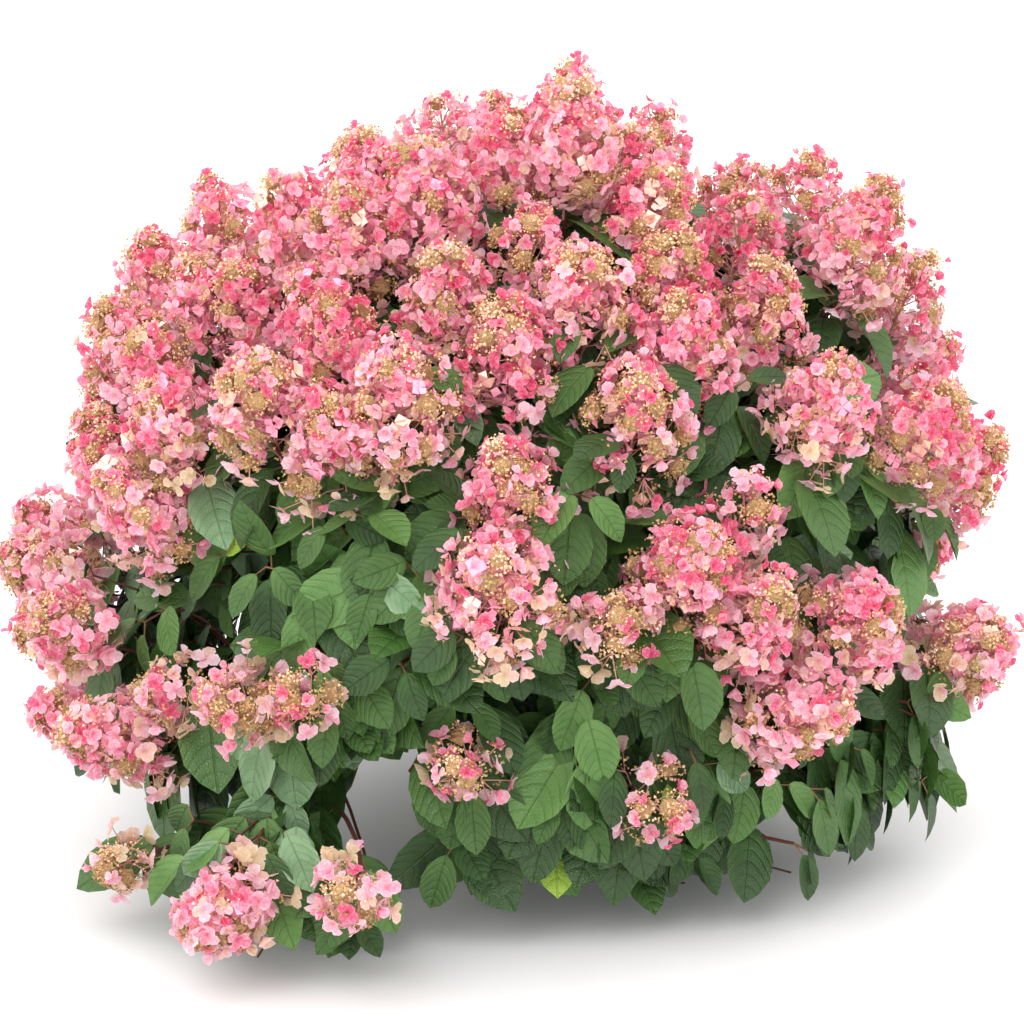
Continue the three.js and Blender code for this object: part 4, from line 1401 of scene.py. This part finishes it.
n = len(flower_place)
high = within(b.s[flower_branch] * SMALLER_UP_HEAD)
aloft = ramp(b.height[flower_branch], *ALOFT)
at_foot, at_tip = chance.uniform(*SEPAL_LENGTHS_LOW, n), chance.uniform(*SEPAL_LENGTHS_HIGH, n)
sepal_size = blend(at_foot, at_tip, high) * blend(1, SMALLER_ALOFT, aloft)
sepal_corners = lay_blades(SEPAL_SHAPE, *sepals_of(flower_place, flower_facing, sepal_size))
flower_of = np.tile(np.arange(n), SEPALS)
total = len(sepal_corners)
print(total, "sepals")

# %% [markdown]
# ### Flowers deeper in the head
#
# Between the outer flowers one sees others further in, never the far side of the head. A
# solid core would show as a brown lump, so three plain small flowers lie below the end of
# each side branch of a full head. Little of them shows, so a sepal has only two faces.

# %% Inner flowers
INNER_FLOWERS, INNER_SCATTER, INNER_FACES_VARY = 3, 9, 0.5
INNER_DEPTHS = (8, 30)
INNER_SEPALS = (10, 15)
INNER_PINKS = 0.6
INNER_SHAPE = blade_shape([(0, 0), (0.62, 1), (1, 0)], 2)

host = np.repeat(np.flatnonzero(b.full == 1), INNER_FLOWERS)
n = len(host)
deep = chance.uniform(*INNER_DEPTHS, n)
inner_place = b.end[host] - b.out[host] * column(deep) + chance.normal(0, INNER_SCATTER, (n, 3))
inner_facing = unit(b.out[host] + chance.normal(0, INNER_FACES_VARY, (n, 3)))
inner_size = chance.uniform(*INNER_SEPALS, n)
inner = lay_blades(INNER_SHAPE, *sepals_of(inner_place, inner_facing, inner_size))
is_pink = np.tile(chance.random(n) < INNER_PINKS, SEPALS)
for name, chosen, code in (
    ("inner_sepals_pink", is_pink, "#FAA8C0"), ("inner_sepals_peach", ~is_pink, "#F8CCBA"),
):
    paint = new_paint(name.replace("_", " "), code, 0.7)[0]
    settle(joined_copies(name, INNER_SHAPE, inner[chosen], paint, False))

# %% [markdown]
# ### Colours of the flowers
#
# The flowers open cream, turn pink from the top of the head down, and fade to peach and
# buff at its foot. Each sepal gets a ripeness from its place in the head, its head's own
# tint and chance, and ripeness deals it into one of seven plain shades. A sepal is paler
# towards its foot and has faint veins. Its rim and patches are paler as well, partly in its
# own colour and partly as a painted highlight.

# %% Dealing the sepals into shades
# the rim colour is paler, partly the sepal's own colour and partly a painted highlight
SEPAL_SHADES = [  # (ripeness up to which, name, blade, veins, foot, rim)
    (0.10, "buff", "#EDD2AE", "#DAB48E", "#E0CA9E", "#F7E8D0"),
    (0.25, "peach", "#F8CDBC", "#EEA298", "#F2BCA8", "#FEECE2"),
    (0.44, "blush", "#FCD2DE", "#F3A0B6", "#F8BAC6", "#FFF0F5"),
    (0.64, "light_pink", "#FDBCD0", "#F18AA8", "#F9A6BC", "#FFE8EF"),
    (0.82, "pink", "#FBA2BE", "#EE6A92", "#F288A6", "#FFDCE6"),
    (0.94, "rose", "#F882A4", "#E24E78", "#EC668A", "#FEC4D4"),
    (np.inf, "deep_rose", "#EF5A86", "#D0325E", "#E04A74", "#FAA2BA"),
]
SEPAL_PAINT = dict(
    roughness=0.6, pairs=3.4, sweep=1.8, relief=0.35, vein_share=0.6, mottle_and_highlight=0.65, glow=0.46
)
MIDDLE_RIPENESS, RIPER_UP_HEAD, HEAD_TINT, RIPER_ALOFT = 0.62, 0.44, 0.09, 0.24
CROWN_TOP = 900
FADED_BELOW, FADED_SHARE, FADED_BY = 0.3, 0.5, 0.3
FLOWER_VARIES, SEPAL_VARIES = 0.2, 0.12

n = len(flower_place)
up_head, up_crown = b.s[flower_branch], within(b.height[flower_branch] / CROWN_TOP)
ripe_flower = (
    MIDDLE_RIPENESS + RIPER_UP_HEAD * (up_head - 0.5) + HEAD_TINT * b.vivid[flower_branch]
    + RIPER_ALOFT * (up_crown - 0.5) + chance.normal(0, FLOWER_VARIES, n)
)
faded = (up_head < FADED_BELOW) & (chance.random(n) < FADED_SHARE)
ripe_flower = ripe_flower - FADED_BY * faded
ripeness = ripe_flower[flower_of] + chance.normal(0, SEPAL_VARIES, total)
lowest = -np.inf
for limit, name, *shades in SEPAL_SHADES:
    chosen = (ripeness >= lowest) & (ripeness < limit)
    lowest = limit
    paint = blade_paint(f"{name.replace('_', ' ')} sepal", shades, **SEPAL_PAINT)
    piece = joined_copies(f"sepals_{name}", SEPAL_SHAPE, sepal_corners[chosen], paint)
    settle(piece)

# %% [markdown]
# ### Crumbs
#
# The fertile flowers are too small to show as flowers from a step away. Each crumb is a
# solid with four sides, which catches the light in its own way. Geometry Nodes put one on
# each point of a cloud, turned by chance and as large as the point says, and make one
# plain mesh of them. A tone deals them into peach, straw, ochre, olive and brown. It is
# high where a head looks up, as painted light on the lit tops, and in high heads.

# %% Crumbs
crumb_tree, given, result = new_tree(
    "A crumb on each point", "GeometryNodeTree",
    {"Geometry": ("Geometry", None), "Radius": ("Float", 0.001), "Seed": ("Int", 1),
     "Paint": ("Material", None)},
    {"Geometry": "Geometry"},
)
crumb = add(crumb_tree, "GeometryNodeMeshCone", fill_type="NGON")
put(crumb.inputs["Vertices"], 3)
put(crumb.inputs["Radius Bottom"], given["Radius"])
put(crumb.inputs["Depth"], calc(crumb_tree, "MULTIPLY", given["Radius"], 1.4))
any_turn = add(
    crumb_tree, "FunctionNodeRandomValue", (0, 0, 0), (6.283,) * 3, data_type="FLOAT_VECTOR"
)
put(any_turn.inputs["Seed"], given["Seed"])
own_size = add(crumb_tree, "GeometryNodeInputNamedAttribute", "size", data_type="FLOAT")
laid = add(crumb_tree, "GeometryNodeInstanceOnPoints", given["Geometry"])
put(laid.inputs["Instance"], crumb.outputs["Mesh"])
put(laid.inputs["Rotation"], any_turn.outputs[0])
put(laid.inputs["Scale"], own_size.outputs[0])
whole = add(crumb_tree, "GeometryNodeRealizeInstances", laid.outputs[0]).outputs[0]
painted = add(crumb_tree, "GeometryNodeSetMaterial", whole)
put(painted.inputs["Material"], given["Paint"])
put(result["Geometry"], painted.outputs[0])

# %% Clouds of crumbs in five shades
CRUMBS_ON_FULL, CRUMBS_ON_BARE = 22, 82
CRUMB_RADIUS, CRUMB_SIZES = 0.0018, (0.6, 1.35)
CLOUD_REACH, CLOUD_LIFT = (0.78, 1.32), 0.7  # from the dome's middle, and outwards
MIDDLE_TONE, PAINTED_LIGHT_UP, DARKER_LOW, LOW_BELOW = 0.5, 0.38, 0.16, 400
DOME_TONE_VARIES, CRUMB_TONE_VARIES = 0.13, 0.2
CRUMB_SHADES = {  # name: (tone from, up to, colour)
    "crumbs_peach": (0.86, np.inf, "#F6CDB0"),
    "crumbs_straw": (0.64, 0.86, "#E6BA90"),
    "crumbs_ochre": (0.42, 0.64, "#CC9C6C"),
    "crumbs_olive": (0.20, 0.42, "#B4A068"),
    "crumbs_brown": (-np.inf, 0.20, "#A4825A"),
}

dome_of = np.repeat(np.arange(len(b.s)), np.where(b.bare, CRUMBS_ON_BARE, CRUMBS_ON_FULL))
n, out = len(dome_of), b.out[dome_of]
way = unit(chance.normal(0, 1, (n, 3)) + CLOUD_LIFT * out)
rise = column((way * out).sum(1))
stand = b.radius[dome_of] * chance.uniform(*CLOUD_REACH, n)
crumb_place = b.end[dome_of] + (way - out * rise + out * (rise * DOME_HEIGHT)) * column(stand)
how_low = 1 - within(b.height / LOW_BELOW)
# lighter where the dome looks up, painted light on its lit top; darker in low heads
tone = MIDDLE_TONE + PAINTED_LIGHT_UP * out[:, 2] - DARKER_LOW * how_low[dome_of]
tone = tone + chance.normal(0, DOME_TONE_VARIES, len(b.s))[dome_of]
tone = tone + chance.normal(0, CRUMB_TONE_VARIES, n)
for number, (name, (low_tone, high_tone, code)) in enumerate(CRUMB_SHADES.items(), 1):
    chosen = (tone >= low_tone) & (tone < high_tone)
    host = mesh_from(name, crumb_place[chosen], np.zeros((0, 3), int))
    sizes = chance.uniform(*CRUMB_SIZES, int(chosen.sum())).astype(np.float32)
    host.data.attributes.new("size", "FLOAT", "POINT").data.foreach_set("value", sizes)
    paint = new_paint(name.replace("_", " "), code, 0.85)[0]
    piece = run_nodes(host, crumb_tree, Radius=CRUMB_RADIUS, Seed=number, Paint=paint)
    settle(piece)

# %% [markdown]
# ### The stalks of a head
#
# Each head has one axis, which its side branches leave in a slight upward bow, and each
# showy flower hangs on a stalk of its own. They are tubes along paths, as the twigs are.
# A stalk that is short and deep in a full head wouldn't show, so it is left out.

# %% Axes, side branches and flower stalks
AXIS_RADII, BRANCH_RADII, FLOWER_STALK_RADII = (2.2, 1.6, 0.9), (1.1, 0.9, 0.7), (0.9, 0.6)
AXIS_IN_SHOOT, AXIS_REACH = 2, 0.38
BRANCH_BOW = 4
STALK_DEPTH, SHOWN_FROM = 6, 22

stalk_skin = new_paint("flower stalks", "#C68F84", 0.6)[0]
axes = np.array([
    [head.end - head.axis * AXIS_IN_SHOOT, head.middle,
     head.middle + head.axis * AXIS_REACH * HEAD_LENGTH * head.size]
    for head in heads
])
bowed = np.stack([b.foot, blend(b.foot, b.end, 0.5) + UP * BRANCH_BOW, b.end], 1)
limbs = [(axes, AXIS_RADII), (bowed, BRANCH_RADII)]
settle(tubes("head_branches", limbs, stalk_skin, STALK_SIDES))

root = b.end[flower_branch] - b.out[flower_branch] * STALK_DEPTH
stands_off = np.linalg.norm(flower_place - root, axis=1) > SHOWN_FROM
shows = stands_off | (b.full[flower_branch] < 1) | b.bare[flower_branch]
limbs = [(np.stack([root, flower_place], 1)[shows], FLOWER_STALK_RADII)]
settle(tubes("flower_stalks", limbs, stalk_skin, STALK_SIDES))
